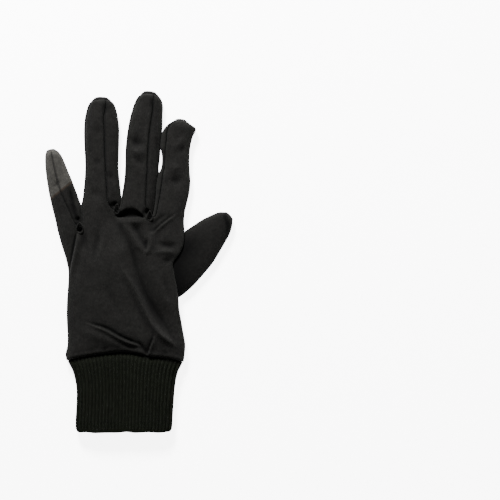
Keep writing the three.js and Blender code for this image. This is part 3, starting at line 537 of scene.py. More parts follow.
# The distance from a path in plan, positive on its left, and the share of the way along it
def pathField(path, x, y):
    path = np.array(path, dtype=float)
    lengths = np.concatenate([[0], np.cumsum(np.linalg.norm(np.diff(path, axis=0), axis=1))])
    best = np.full(len(x), 1e9)
    signed = np.zeros(len(x))
    place = np.zeros(len(x))
    for i in range(len(path) - 1):
        run = path[i + 1] - path[i]
        size = np.linalg.norm(run)
        run = run / size
        dx, dy = x - path[i, 0], y - path[i, 1]
        t = np.clip(dx * run[0] + dy * run[1], 0, size)
        ox, oy = dx - t * run[0], dy - t * run[1]
        gap = np.hypot(ox, oy)
        nearer = gap < best
        best = np.where(nearer, gap, best)
        signed = np.where(nearer, np.where(run[0] * dy - run[1] * dx >= 0, gap, -gap), signed)
        place = np.where(nearer, (lengths[i] + t) / lengths[-1], place)
    return signed, place


def smoothPath(path):   # a curve through the named points
    path = np.array(path, dtype=float)
    ends = np.concatenate([[2 * path[0] - path[1]], path, [2 * path[-1] - path[-2]]])
    curve = []
    for i in range(len(path) - 1):
        a, b, c, d = ends[i:i + 4]
        for t in np.arange(0, 1, 0.25):
            curve.append(0.5 * (2 * b + (c - a) * t + (2 * a - 5 * b + 4 * c - d) * t ** 2
                                + (3 * b - a - 3 * c + d) * t ** 3))
    return np.array(curve + [path[-1]])


# Folds of the back of the hand and of the fingers, each along a path in millimetres. A valley or a ridge is
# even on both sides, and a crease drops sharply on its right and has a lip on its left.
foldNames = ("kind", "deep", "wide", "fadeIn", "fadeOut", "path")   # the fades are shares of the path
foldTable = [
    # the lip of the hand below the dark pocket
    ("ridge", 1.1, 2.6, 0.3, 0.3, [(18, 51.5), (8, 51.2), (0, 51.2), (-7, 52.5)]),
    # from the crotch beside the index finger to the hand's edge
    ("crease", 1.5, 1.8, 0.5, 0.25, [(42, 58.5), (36, 54.8), (30, 50.4), (25.4, 46.4), (21, 42)]),
    ("valley", 1.0, 2.0, 0.4, 0.4, [(18, 48.5), (23, 50.5), (28, 54.5), (33, 57)]),
    # the fan of puckers below the middle finger
    ("ridge", 1.5, 3.2, 0.3, 0.3, [(-3, 53), (3, 45), (9, 36.5), (16, 26)]),
    ("valley", 1.4, 2.8, 0.3, 0.25, [(6, 51), (10.5, 44), (14, 37), (16.6, 29.5)]),
    ("ridge", 1.5, 2.4, 0.25, 0.25, [(22.5, 46), (20.4, 38), (18.8, 31), (16.5, 25)]),
    ("valley", 1.2, 1.8, 0.4, 0.3, [(18, 40), (17.4, 34), (16.6, 28)]),
    ("ridge", 0.9, 3.6, 0.4, 0.5, [(-11, 54), (-13, 44), (-16, 32), (-20, 18)]),
    ("valley", 0.9, 3.4, 0.4, 0.5, [(-19, 50), (-19.5, 40), (-22, 28), (-25, 16)]),
    ("ridge", 0.7, 4.0, 0.4, 0.5, [(-27, 44), (-29, 32), (-31, 18), (-33, 0)]),
    # the long fold that runs down to the hem's right corner
    ("valley", 3.6, 5.0, 0.35, 0.3, [(-2, 49), (3, 38), (7, 26), (11, 12), (15.5, 0), (21, -10.5),
     (27.5, -21), (34, -30.5), (43, -42)]),
    ("ridge", 2.7, 2.4, 0.35, 0.2, [(-4, 21), (2, 11.5), (8, 1.5), (13.2, -9), (18.6, -20.2), (25, -29.8),
     (33, -37.4), (43, -45)]),
    ("ridge", 1.0, 5.0, 0.4, 0.4, [(19, 26), (24, 8), (31, -8), (39, -22)]),
    ("valley", 0.9, 4.0, 0.4, 0.4, [(30, 14), (33, 0), (38, -12)]),
    ("valley", 0.8, 5.0, 0.5, 0.5, [(-22, 10), (-12, 0), (-4, -14), (2, -26)]),
    # the sharp crease above the hem on the left
    ("crease", 2.7, 2.2, 0.2, 0.4, [(14.5, -42), (8, -39.6), (2.6, -37.6), (-4, -34.4), (-10, -30.8),
     (-16, -28), (-22.5, -26), (-31, -23)]),
    ("ridge", 1.3, 4.5, 0.4, 0.4, [(8, -47), (-8, -39.5), (-22, -33), (-38, -31)]),
    # short tucks into the hem
    ("crease", 1.9, 1.8, 0.5, 0.0, [(23.4, -30.5), (22, -37), (19.8, -43), (18.0, -49)]),
    ("valley", 1.5, 1.8, 0.5, 0.0, [(8.5, -36.5), (12.5, -41), (15.5, -45), (17, -49)]),
    ("valley", 0.6, 1.2, 0.5, 0.0, [(-14, -41), (-13.4, -49)]),
    ("valley", 0.6, 1.4, 0.5, 0.0, [(-4, -41), (-3, -49)]),
    ("valley", 0.6, 1.4, 0.5, 0.0, [(31, -43), (31.6, -52)]),
    # dimples beside the thumb
    ("valley", 1.5, 2.9, 0.5, 0.4, [(23, 35.5), (29, 34.2), (35, 33.2), (41.5, 34.5)]),
    ("ridge", 1.1, 2.2, 0.4, 0.4, [(21, 27.4), (28, 28.6), (35, 28.4), (41, 27)]),
    ("valley", 1.2, 2.6, 0.5, 0.2, [(27, 22.5), (34, 22), (40, 24.5)]),
    # the edge where the hand lies higher than the little finger's root
    ("crease", 2.3, 3.0, 0.2, 0.45, [(-34.6, 46), (-35.8, 37), (-37.8, 27), (-40.4, 15), (-42.5, 2)]),
    # slots and drag lines of the strips between the fingers
    ("valley", 3.2, 1.5, 0.3, 0.1, [(-41.2, 79), (-39.6, 70), (-37.4, 60), (-34.6, 50.5)]),
    ("valley", 1.3, 1.7, 0.4, 0.4, [(-13.2, 90), (-9.5, 84.5), (-6.0, 79)]),
    ("ridge", 0.9, 1.5, 0.4, 0.3, [(-11.9, 74), (-9.6, 67), (-8.4, 61)]),
    ("valley", 1.6, 1.2, 0.4, 0.2, [(-8.4, 75), (-7.4, 68), (-7.6, 62)]),
    ("valley", 1.6, 1.2, 0.4, 0.2, [(24.4, 75), (23.2, 67), (21.4, 58)]),
    # soft hollows of the fingers
    ("valley", 1.7, 4.2, 0.5, 0.5, [(2, 114.5), (10.5, 110.5), (17, 110)]),
    ("valley", 0.9, 3.2, 0.5, 0.5, [(4, 101.5), (12, 96.5), (18, 93)]),
    ("ridge", 0.8, 2.8, 0.5, 0.5, [(5, 106), (11, 103), (18, 101)]),
    ("ridge", 0.8, 2.4, 0.5, 0.4, [(37, 103), (41, 108.5), (45, 116)]),
    ("valley", 0.8, 2.6, 0.5, 0.5, [(40, 100), (44, 105), (48, 112)]),
    ("valley", 1.4, 4.4, 0.5, 0.5, [(31, 84), (40, 82), (46, 85)]),
    ("ridge", 0.7, 3.0, 0.5, 0.5, [(32, 94), (39, 91.5), (46, 93)]),
    ("valley", 0.7, 4.6, 0.5, 0.5, [(-26, 122), (-18, 119), (-13, 121)]),
    ("valley", 0.6, 3.0, 0.5, 0.5, [(-25, 98), (-19, 96), (-14, 98)]),
    ("valley", 0.6, 4.0, 0.5, 0.5, [(-27, 76), (-20, 73), (-14, 76)]),
    ("valley", 0.9, 2.0, 0.5, 0.5, [(-54, 76), (-50, 79), (-46, 84)]),
]
folds = [dict(zip(foldNames, row)) for row in foldTable]
foldForm = {   # shares of a fold's width and depth
    "endNarrowing": 0.45, "roundness": 1.7, "dropSharpness": 1.3,
    "lip": 0.7, "lipAt": 0.45, "lipWide": 0.75, "turnsOver": (-0.4, 0.3),
}
pocket = {   # the hollow under the middle finger's root, its lip straight and its roof an arc, sunk in and painted black as shadow
    "lip": [(-6.0, 54.9), (0, 54.6), (8, 54.9), (12.5, 54.9), (15.5, 53.4)],
    "roof": [(-6.0, 55.8), (-2.2, 58.9), (2.1, 62.2), (7.1, 62.2), (10.4, 59.6), (12.9, 56.6), (15.5, 53.8)],
    "deep": 4.2, "darkFrom": 0.45,
    "leftSoft": (-0.5, 2), "rightSoft": (0.5, -3), "lipSoft": (-0.5, 0.3), "roofSoft": (0.8, 1.2),
}
knots = {   # the small curled eyelets at the three crotches: middle, half width, half height; their holes are painted black as shadow
    "places": [(-33.0, 46.6, 2.5, 4.1), (-5.3, 60.6, 2.0, 3.5), (19.4, 55.6, 2.1, 3.6)],
    "thick": 0.72, "deep": 3.0, "holeShare": 0.75, "darkShare": 0.72,
    "hollows": [(-34.2, 51.0, 2.2, 4.6), (-6.9, 63.8, 3.0, 2.9), (17.7, 58.2, 2.4, 2.9)],   # beside them, also painted black as shadow
}
shadows = [   # small spots so deep between seams that no light reaches them: middle, half sizes, darkness
    (-14.4, 137.0, 2.2, 4.2, 0.8), (20.6, 141.0, 1.6, 4.0, 0.8), (-38.6, 64, 1.5, 7.5, 0.9),
    (-36.4, 55, 1.1, 6, 0.9), (-9.3, 64.8, 1.8, 2.4, 0.8), (14.9, 58.6, 1.6, 2.6, 0.8),
    (24.4, 112, 0.9, 7, 0.6), (-3.5, 57.6, 2.4, 2.2, 0.8),
]
drape = [(0.45, 19.0), (0.16, 7.5), (0.04, 2.6)]   # rise and size of the waves in cloth that nothing fills


def foldRise(fold, x, y):
    signed, place = pathField(smoothPath(fold["path"]), x, y)
    shortest = 0.001
    ends = smoothStep(0, fold["fadeIn"], place) * smoothStep(0, max(fold["fadeOut"], shortest), 1 - place)
    wide = fold["wide"] * (1 - foldForm["endNarrowing"] * (1 - ends))
    near = np.abs(signed) / wide
    if fold["kind"] in ("valley", "ridge"):
        sign = -1 if fold["kind"] == "valley" else 1
        return sign * fold["deep"] * ends * np.exp(-near ** foldForm["roundness"])
    drop = -np.exp(-near * foldForm["dropSharpness"])
    lip = foldForm["lip"] * np.exp(-((near - foldForm["lipAt"]) / foldForm["lipWide"]) ** 2)
    return fold["deep"] * ends * mix(drop, lip, smoothStep(*foldForm["turnsOver"], signed))


def pocketShare(x, y):   # 0 outside the pocket, 1 just above its lip
    lip, roof = smoothPath(pocket["lip"]), smoothPath(pocket["roof"])
    low, high = np.interp(x, lip[:, 0], lip[:, 1]), np.interp(x, roof[:, 0], roof[:, 1])
    leftOut, leftIn = lip[0, 0] + pocket["leftSoft"][0], lip[0, 0] + pocket["leftSoft"][1]
    rightOut, rightIn = lip[-1, 0] + pocket["rightSoft"][0], lip[-1, 0] + pocket["rightSoft"][1]
    inside = smoothStep(leftOut, leftIn, x) * smoothStep(rightOut, rightIn, x)
    aboveLip = smoothStep(low + pocket["lipSoft"][0], low + pocket["lipSoft"][1], y)
    return inside * aboveLip * smoothStep(high + pocket["roofSoft"][0], low + pocket["roofSoft"][1], y)


def holeShare(x, y, grow):   # 1 in the eyelets' holes and in the hollows beside them
    share = np.zeros(len(x))
    for kx, ky, halfWide, halfHigh in knots["places"] + knots["hollows"]:
        away = np.hypot((x - kx) / (halfWide * grow), (y - ky) / (halfHigh * grow))
        share = np.maximum(share, np.exp(-away ** 4))
    return share


def sculptBack(spots):
    x, y = spots[:, 0], spots[:, 1]
    rise = np.zeros(len(spots))
    for fold in folds:
        path = np.array(fold["path"])
        reach = 4 * fold["wide"]
        low, high = path.min(axis=0) - reach, path.max(axis=0) + reach
        close = np.flatnonzero((x > low[0]) & (x < high[0]) & (y > low[1]) & (y < high[1]))
        if len(close):
            rise[close] += foldRise(fold, x[close], y[close])
    rise -= pocket["deep"] * pocketShare(x, y)
    rise -= knots["deep"] * holeShare(x, y, knots["holeShare"])
    for p in range(len(spots)):
        for high, size in drape:
            rise[p] += high * noise.noise(Vector(spots[p]) / size)
    return rise


# The hem, where the cloth drops to the seam with the cuff and puffs up above it
hem = {"drop": 0.8, "dropReach": 0.6, "puff": 0.5, "puffAt": 2.0, "puffWide": 1.6, "foldsFade": (-1, 3),
       "farAbove": 99}
sideFlatness = 12
foldSoftness = 0.3
sideFade = np.where(onHand, 1 - np.abs(region[:, 2]).clip(0, 1) ** sideFlatness, 1)
rise = sideFade * sculptBack(points)
aboveHem = np.where(onHand, region[:, 1] * glove["palmLong"], hem["farAbove"])
rise = rise * smoothStep(*hem["foldsFade"], aboveHem)
rise -= hem["drop"] * np.exp(-(aboveHem / hem["dropReach"]) ** 2)
rise += hem["puff"] * np.exp(-((aboveHem - hem["puffAt"]) / hem["puffWide"]) ** 2)
points[:, 2] += region[:, 3] * rise
points = smoothPoints(points, pairs, foldSoftness * region[:, 3], 1)
normals = pointNormals(points, faceList)
print("folds are in:", len(folds))


# The pointed corner of the index finger's tip, where its seam allowance sticks out
tipCorner = {"at": (52.4, 120.6), "push": (1.1, 0.5), "reach": 3.2}
toCorner = np.hypot(points[:, 0] - tipCorner["at"][0], points[:, 1] - tipCorner["at"][1])
points[:, :2] += np.exp(-(toCorner / tipCorner["reach"]) ** 2)[:, None] * tipCorner["push"]


# Seams: every edge where two pieces of cloth meet
def seamPoints():
    owner = {}
    for name, face in allFaces:
        for i in face:
            owner.setdefault(i, set()).add(name)
    return [i for i, names in owner.items() if len(names) > 1]


seam = seamPoints()
tree = KDTree(len(seam))
for k, i in enumerate(seam):
    tree.insert(points[i], k)
tree.balance()
found = [tree.find(p) for p in points]
fromSeam = np.array([distance for _, _, distance in found])


# How plainly a seam shows, next to those on the right of the ring and middle fingers
seamLook = {"tipsFrom": 0.93, "outerTips": 0.0, "leftSeamsTo": 0.9, "leftSeams": 0.5, "littleFinger": 0.65,
            "sides": 0.4, "sideBelow": 0.02}


def seamStrength(i):
    finger, at, across, upper, bottom = region[i]
    if finger in (0, 3) and at > seamLook["tipsFrom"]:
        return seamLook["outerTips"]
    if finger in (1, 2) and across < 0 and at < seamLook["leftSeamsTo"]:
        return seamLook["leftSeams"]
    if finger == 0:
        return seamLook["littleFinger"]
    return seamLook["sides"] if upper < seamLook["sideBelow"] and bottom == 0 else 1.0


strength = np.array([seamStrength(i) for i in seam])
seamShow = strength[[k for _, k, _ in found]]
seamShape = {   # how the cloth sinks towards a seam, puffs up beside it and turns in at its edge
    "deep": 0.3, "wide": 0.9, "puff": 0.16, "puffAt": 2.0, "puffWide": 1.1,
    "turn": [(0.24, 0.06), (0.11, 0.3), (0.07, 0.85)], "inner": (0.7, 1.05), "plain": 0.35,
    "sharpestCorner": 0.6,
}
puffed = seamShape["puff"] * np.exp(-((fromSeam - seamShape["puffAt"]) / seamShape["puffWide"]) ** 2)
sunk = seamShape["deep"] * np.exp(-(fromSeam / seamShape["wide"]) ** 2)
points = points + normals * (seamShow * (puffed - sunk))[:, None]
normals = pointNormals(points, faceList)

# Painted shade for the materials: the hollows of folds, found against the same skin blurred, are darkened in
# colour, and the deep holes are painted black as shadow
darkening = {"blurWeight": 0.5, "blurTimes": 40, "deepest": 0.7, "darkest": 0.9, "fromHem": (0.5, 4),
             "topsFrom": 0.3}
blurred = smoothPoints(points, pairs, np.full(len(points), darkening["blurWeight"]), darkening["blurTimes"])
depth = ((blurred - points) * normals).sum(axis=1)
hollowShade = np.clip(depth / darkening["deepest"], 0, 1) * darkening["darkest"]
hollowShade = hollowShade * smoothStep(*darkening["fromHem"], aboveHem)
# painted black shadow in the pocket, in the eyelets' holes and in the hollows beside them
blackShade = smoothStep(0, pocket["darkFrom"], pocketShare(points[:, 0], points[:, 1]))
blackShade = np.maximum(blackShade, holeShare(points[:, 0], points[:, 1], knots["darkShare"])) * region[:, 3]
for x, y, halfWide, halfLong, darkness in shadows:
    spread = ((points[:, 0] - x) / halfWide) ** 2 + ((points[:, 1] - y) / halfLong) ** 2
    blackShade = np.maximum(blackShade, darkness * np.exp(-spread) * (region[:, 3] > darkening["topsFrom"]))
skinTree = KDTree(len(points))
for k, spot in enumerate(points):
    skinTree.insert(spot, k)
skinTree.balance()
print("seams are in:", len(seam), "points")


def makeObject(name, spots, faces):
    mesh = bpy.data.meshes.new(name)
    mesh.from_pydata([tuple(p) for p in np.asarray(spots) * 0.001], [], faces)
    mesh.validate()
    mesh.update()
    mesh.polygons.foreach_set("use_smooth", [True] * len(mesh.polygons))
    piece = bpy.data.objects.new(name, mesh)
    bpy.context.scene.collection.objects.link(piece)
    return piece


# One panel: its faces as the outer side, the same drawn inwards as the inner side, and a rim that turns in
def clothShell(faces):
    quads = [tuple(face) for face in faces]
    used = sorted({i for face in quads for i in face})
    number = {i: k for k, i in enumerate(used)}
    edges = {}
    for face in quads:
        for k, a in enumerate(face):
            edges[(a, face[(k + 1) % len(face)])] = True
    rim = [(a, b) for a, b in edges if (b, a) not in edges]
    pulls = {}
    for a, b in rim:
        run = points[b] - points[a]
        run = run / max(np.linalg.norm(run), 1e-9)
        for i in (a, b):
            inward = np.cross(normals[i], run)
            pulls.setdefault(i, []).append(inward / max(np.linalg.norm(inward), 1e-9))
    back = {}
    for i, found in pulls.items():
        mean = np.mean(found, axis=0)
        corner = max(seamShape["sharpestCorner"], np.linalg.norm(mean))
        back[i] = mean * (2 - corner) / (corner * corner)
    outer = points[used].copy()
    inner = points[used] - normals[used] * glove["clothWall"]
    edge = list(back)
    show = {i: mix(seamShape["plain"], 1, seamShow[i]) for i in edge}
    turns = [np.array([points[i] + back[i] * away * show[i] - normals[i] * deep for i in edge])
             for away, deep in seamShape["turn"]]
    for k, i in enumerate(edge):
        outer[number[i]] = turns[0][k]
        away, deep = seamShape["inner"]
        inner[number[i]] = points[i] + back[i] * away - normals[i] * deep
    count = len(used)
    place = {i: k for k, i in enumerate(edge)}
    shell = [tuple(number[i] for i in face) for face in quads]
    shell += [tuple(number[i] + count for i in reversed(face)) for face in quads]
    rows = [lambda i: number[i]]
    rows += [lambda i, t=t: 2 * count + (t - 1) * len(edge) + place[i] for t in range(1, len(turns))]
    rows.append(lambda i: number[i] + count)
    for upper, lower in zip(rows, rows[1:]):
        shell += [(upper(b), upper(a), lower(a), lower(b)) for a, b in rim]
    return np.concatenate([outer, inner, *turns[1:]]), shell


def thumbPoint(at, share, spread=0):
    lean = math.radians(thumb["lean"])
    along = np.array((math.sin(lean), math.cos(lean)))
    across = np.array((math.cos(lean), -math.sin(lean)))
    past = at * thumb["long"] - (spread if at < thumb["outline"][1][0] else 0)
    sign = 0 if share == 0 else math.copysign(1, share)
    return np.array(thumb["root"]) + along * past + across * (share * thumb["wide"] + sign * spread)


def thumbPlan(spread):
    rows = thumb["outline"]
    left = [thumbPoint(row[0], row[1], spread) for row in rows]
    right = [thumbPoint(row[0], row[2], spread) for row in rows]
    return right + left[::-1]


def prism(name, outline, low, high):
    count = len(outline)
    spots = [(p[0], p[1], low) for p in outline] + [(p[0], p[1], high) for p in outline]
    area = sum(a[0] * b[1] - b[0] * a[1] for a, b in zip(outline, outline[1:] + outline[:1]))
    order = list(range(count)) if area > 0 else list(range(count))[::-1]
    faces = [tuple(order[::-1]), tuple(i + count for i in order)]
    for k in range(count):
        a, b = order[k], order[(k + 1) % count]
        faces.append((a, b, b + count, a + count))
    return makeObject(name, spots, faces)


def cutAway(piece, cutter):
    cut = piece.modifiers.new("cut", "BOOLEAN")
    cut.operation = "DIFFERENCE"
    cut.solver = "MANIFOLD"
    cut.object = cutter
    depsgraph = bpy.context.evaluated_depsgraph_get()
    mesh = bpy.data.meshes.new_from_object(piece.evaluated_get(depsgraph))
    mesh.name = piece.name
    piece.modifiers.clear()
    piece.data = mesh
    bpy.data.objects.remove(cutter)
    mesh.polygons.foreach_set("use_smooth", [True] * len(mesh.polygons))


# A rolled edge of cloth in the shape of a drop, its point to the fingertips
eyeletCord = {"steps": 56, "sides": 10, "pointed": 0.77, "uneven": 0.2, "level": 0.7, "reach": 2.2,
              "topsFrom": 0.6, "sunk": 0.5, "tilt": 0.5, "tiltTurn": 0.6, "highShare": 1.2}
bunch = {"rings": 8, "around": 20, "wide": 1.15, "long": 1.1, "middle": 2.6, "halfHigh": 1.7}


def makeEyelet(kx, ky, halfWide, halfHigh):
    steps, sides = eyeletCord["steps"], eyeletCord["sides"]
    angles = np.linspace(0, 2 * math.pi, steps, endpoint=False)
    across = kx + halfWide / eyeletCord["pointed"] * np.sin(angles) * np.sin(angles / 2)
    path = np.stack([across, ky + halfHigh * np.cos(angles)], 1)
    close = np.hypot(points[:, 0] - kx, points[:, 1] - ky) < halfHigh * eyeletCord["reach"]
    upper = np.flatnonzero((region[:, 3] > eyeletCord["topsFrom"]) & close)
    level = np.quantile(points[upper, 2], eyeletCord["level"])
    spots = []
    for k in range(steps):
        run = path[(k + 1) % steps] - path[k - 1]
        out = np.array((run[1], -run[0])) / np.linalg.norm(run)
        thick = knots["thick"] * (1 - eyeletCord["uneven"] * (1 - math.sin(3 * angles[k] + kx)))
        rise = level - eyeletCord["sunk"] + eyeletCord["tilt"] * math.cos(angles[k] + eyeletCord["tiltTurn"])
        for q in range(sides):
            turn = 2 * math.pi * q / sides
            side = path[k] + out * thick * math.cos(turn)
            spots.append((side[0], side[1], rise + thick * eyeletCord["highShare"] * math.sin(turn)))
    faces = []
    for k in range(steps):
        n = (k + 1) % steps
        for q in range(sides):
            w = (q + 1) % sides
            faces.append((k * sides + q, n * sides + q, n * sides + w, k * sides + w))
    return np.array(spots), faces


def makeBunch(kx, ky, halfWide, halfHigh):   # the strip's cloth bunched below an eyelet
    rings, around = bunch["rings"], bunch["around"]
    spots = []
    for r in range(1, rings):
        lean = math.pi * r / rings
        for q in range(around):
            turn = 2 * math.pi * q / around
            spots.append((kx + halfWide * bunch["wide"] * math.sin(lean) * math.cos(turn),
                          ky + halfHigh * bunch["long"] * math.sin(lean) * math.sin(turn),
                          bunch["middle"] + bunch["halfHigh"] * math.cos(lean)))
    spots += [(kx, ky, bunch["middle"] + bunch["halfHigh"]), (kx, ky, bunch["middle"] - bunch["halfHigh"])]
    faces = []
    last = (rings - 2) * around
    for q in range(around):
        w = (q + 1) % around
        faces.append((q, w, len(spots) - 2))
        faces.append((last + w, last + q, len(spots) - 1))
        for r in range(rings - 2):
            upper, lower = r * around, (r + 1) * around
            faces.append((upper + q, lower + q, lower + w, upper + w))
    return np.array(spots), faces


def joinMeshes(meshes):
    spots, faces = [], []
    for newSpots, newFaces in meshes:
        start = sum(len(part) for part in spots)
        faces += [tuple(i + start for i in face) for face in newFaces]
        spots.append(newSpots)
    return np.concatenate(spots), faces


pieces = {}
for name in pieceNames:
    spots, faces = clothShell(skin["faces"][name])
    if name.startswith("fourchette"):
        place = knots["places"][[fourchetteName(i) for i in range(3)].index(name)]
        spots, faces = joinMeshes([(spots, faces), makeEyelet(*place), makeBunch(*place)])
    pieces[name] = makeObject(name + "_cloth", spots, faces)
farBelow, farAbove = -5, 25
cutAway(pieces["palm_panel"], prism("thumb_hole", thumbPlan(thumb["holeGap"]), farBelow, farAbove))
print("panels:", {name: len(p.data.polygons) for name, p in pieces.items()})


# The thumb: a tube that comes out from under the hand, its upper cloth kept out of the hand
def thumbShell():
    side = thumb["high"] * glove["widestShare"]
    rows = thumb["rows"]
    first, last = thumb["outline"][0], thumb["outline"][-1]
    places = [mix(first[0], last[0], i / rows) for i in range(rows + 1)]
    places += [mix(last[0], 1, share) for share in thumb["tipRows"]]
    spots, rings = [], []
    for at in places:
        left, right = readTable(thumb["outline"], at, 1), readTable(thumb["outline"], at, 2)
        if at > last[0]:
            shrink = math.sqrt(1 - ((at - last[0]) / (1 - last[0])) ** 2)
            middle = (left + right) / 2
            left, right = mix(middle, left, shrink), mix(middle, right, shrink)
        a, b = thumbPoint(at, left), thumbPoint(at, right)
        share = tipShare((1 - at) * thumb["long"], thumb["high"])
        ring = sectionRing(np.linalg.norm(b - a), -thumb["seam"], thumb["seam"], side * (1 - share), side,
                           mix(side, thumb["high"], share), thumb["topCells"], ())
        ids = []
        for across, z, _ in ring:
            p = mix(a, b, (across + 1) / 2)
            spots.append((p[0], p[1], z))
            ids.append(len(spots) - 1)
        rings.append(ids)
    faces = []
    for r in range(len(rings) - 1):
        for c in range(len(rings[r])):
            d = (c + 1) % len(rings[r])
            faces.append((rings[r][c], rings[r][d], rings[r + 1][d], rings[r + 1][c]))
    tip = thumbPoint(1, (last[1] + last[2]) / 2)
    root = thumbPoint(first[0], 0)
    spots += [(tip[0], tip[1], side), (root[0], root[1], side)]
    for c in range(len(rings[0])):
        d = (c + 1) % len(rings[0])
        faces.append((rings[-1][c], rings[-1][d], len(spots) - 2))
        faces.append((rings[0][d], rings[0][c], len(spots) - 1))
    spots = np.array(spots)
    out = pointNormals(spots, faces)
    inner = spots - out * glove["clothWall"]
    return spots, faces, inner


spots, faces, inner = thumbShell()
pieces["thumb"] = makeObject("thumb_cloth", spots, faces)
cutAway(pieces["thumb"], makeObject("thumb_inside", inner, faces))
edge = [(x - thumb["tuck"], y) for x, y in handEdge()]
farLeft = -glove["palmWide"]
underHand = edge + [(farLeft, edge[-1][1]), (farLeft, edge[0][1])]
cutAway(pieces["thumb"], prism("under_hand", underHand, glove["clothWall"] + thumb["handAbove"], farAbove))
print("thumb:", len(pieces["thumb"].data.polygons))


# The cuff: a doubled rib-knit tube
cuff = {
    "long": 53.7, "wide": 72.8, "high": 9.6, "wall": 2.0, "bow": 0.45, "crown": 0.8,
    "ribPitch": 2.4, "ribDeep": 0.55, "pointsPerRib": 10, "rows": 44, "countAt": 0.6, "ribsTo": 0.975,
    "ribForm": 1.5, "ribUneven": (0.75, 0.35), "pathSteps": 1441,
    "hemDip": 1.5, "hemReach": 0.05, "corner": 4.0, "cornerIn": 0.45, "tuck": 1.4, "underHem": -0.1,
    "waver": 0.9, "waverSize": 9, "waverSlice": 3.1, "lean": 0.6, "leanSize": 14, "leanTurns": 2.5,
    "leanSlice": 7.7, "ribSlice": 1.7, "ribApart": 0.83, "ribTurns": 6, "seed": 7,
    "rim": ((0.075, 0.988), (0.25, 0.997), (0.5, 1.0), (0.8, 0.994), (1, 0.975)),   # share of wall, place
    "innerRows": (0.75, 0.5, 0.25, 0.1, 0), "tuckInset": 1.3,
    "stitchPitch": 1.15, "stitched": (0.015, 0.972), "stitchesAbove": 1.2, "stitchesFacing": -0.1,
    "outline": [(0, -0.58, 0.602), (0.06, -0.556, 0.58), (0.12, -0.532, 0.556), (0.25, -0.506, 0.53),
                (0.42, -0.49, 0.512), (0.64, -0.492, 0.503), (0.88, -0.497, 0.497), (1, -0.49, 0.49)],
}


def cuffEdges(at, inset):
    left = cuff["wide"] * readTable(cuff["outline"], at, 1)
    right = cuff["wide"] * readTable(cuff["outline"], at, 2)
    fromEnd = (1 - at) * cuff["long"]
    turn = max(0, 1 - fromEnd / cuff["corner"])
    bend = cuff["cornerIn"] * cuff["corner"] * (1 - math.sqrt(max(0, 1 - turn ** 2)))
    high = cuff["high"] - cuff["hemDip"] * math.exp(-(at / cuff["hemReach"]) ** 2)
    return left + inset + bend, right - inset - bend, inset, high - inset


def cuffRing(at, inset, count, tuck=cuff["underHem"]):
    left, right, low, high = cuffEdges(at, inset)
    half, middle, rise = (right - left) / 2, (low + high) / 2, (high - low) / 2
    angle = np.linspace(0, 2 * math.pi, cuff["pathSteps"])
    c, s = np.cos(angle), np.sin(angle)
    wide, tall = np.sign(c) * np.abs(c) ** cuff["bow"], np.sign(s) * np.abs(s) ** cuff["crown"]
    path = np.stack([half * wide, rise * tall], 1)
    lengths = np.concatenate([[0], np.cumsum(np.linalg.norm(np.diff(path, axis=0), axis=1))])
    goals = lengths[-1] * np.arange(count) / count
    px = np.interp(goals, lengths, path[:, 0])
    pz = np.interp(goals, lengths, path[:, 1])
    ring = []
    for x, z in zip(px, pz):
        top = hemHeight(max(-1, min(1, x / half))) + tuck
        wave = noise.noise(Vector((x / cuff["waverSize"], z / cuff["waverSize"], cuff["waverSlice"])))
        low = -glove["palmLong"] / 2 - cuff["long"] + cuff["waver"] * wave
        turns = Vector((x / cuff["leanSize"], at * cuff["leanTurns"], cuff["leanSlice"]))
        sway = cuff["lean"] * noise.noise(turns)
        ring.append((x + (left + right) / 2 + sway, mix(top, low, at), max(0, z + middle)))
    return np.array(ring)


def ribCount():   # round the whole cuff
    left, right = cuffEdges(cuff["countAt"], 0)[:2]
    return round(2 * (right - left) / cuff["ribPitch"])


def cuffGroove(count):   # 0 on a rib and 1 in the groove between two
    return 0.5 - 0.5 * np.cos(2 * math.pi * np.arange(count) / cuff["pointsPerRib"])


def makeCuff():
    count = ribCount() * cuff["pointsPerRib"]
    groove = cuffGroove(count) ** cuff["ribForm"]
    rib = np.floor(np.arange(count) / cuff["pointsPerRib"] + 0.5)
    even, uneven = cuff["ribUneven"]
    rows = cuff["rows"]
    rings = [cuffRing(0, cuff["tuckInset"], count, cuff["tuck"])]
    for i in range(rows + 1):
        at = cuff["ribsTo"] * i / rows
        ring = cuffRing(at, 0, count)
        run = np.roll(ring, -1, axis=0) - np.roll(ring, 1, axis=0)
        outward = np.stack([run[:, 2], np.zeros(count), -run[:, 0]], 1)
        outward /= np.linalg.norm(outward, axis=1, keepdims=True)
        turns = [Vector((r * cuff["ribApart"], at * cuff["ribTurns"], cuff["ribSlice"])) for r in rib]
        deep = even + uneven * np.array([noise.noise(turn) for turn in turns])
        ring = ring - outward * (cuff["ribDeep"] * deep * groove)[:, None]
        ring[:, 2] = np.maximum(ring[:, 2], 0)
        rings.append(ring)
    for share, at in cuff["rim"]:
        rings.append(cuffRing(at, share * cuff["wall"], count))
    for at in cuff["innerRows"]:
        rings.append(cuffRing(at, cuff["wall"], count))
    rings.append(cuffRing(0, cuff["wall"], count, cuff["tuck"]))
    spots = np.concatenate(rings)
    faces = []
    for r in range(len(rings)):
        n = (r + 1) % len(rings)
        for k in range(count):
            d = (k + 1) % count
            faces.append((r * count + k, r * count + d, n * count + d, n * count + k))
    return spots, faces


pieces["cuff"] = makeObject("cuff_knit", *makeCuff())
print("cuff:", len(pieces["cuff"].data.polygons))


# The stitches of the cuff's ribs: one V of yarn, set along every rib by Geometry Nodes
yarn = {   # one arm of the V: how far along and half its width there, then its distance from the middle
    "arm": ((-0.62, 0.14), (-0.2, 0.28), (0.25, 0.26), (0.66, 0.12)), "apart": (0.1, 0.58),
    "widest": 0.28, "crest": 0.2, "foot": -0.06, "smallest": 0.9, "largest": 1.12,
}


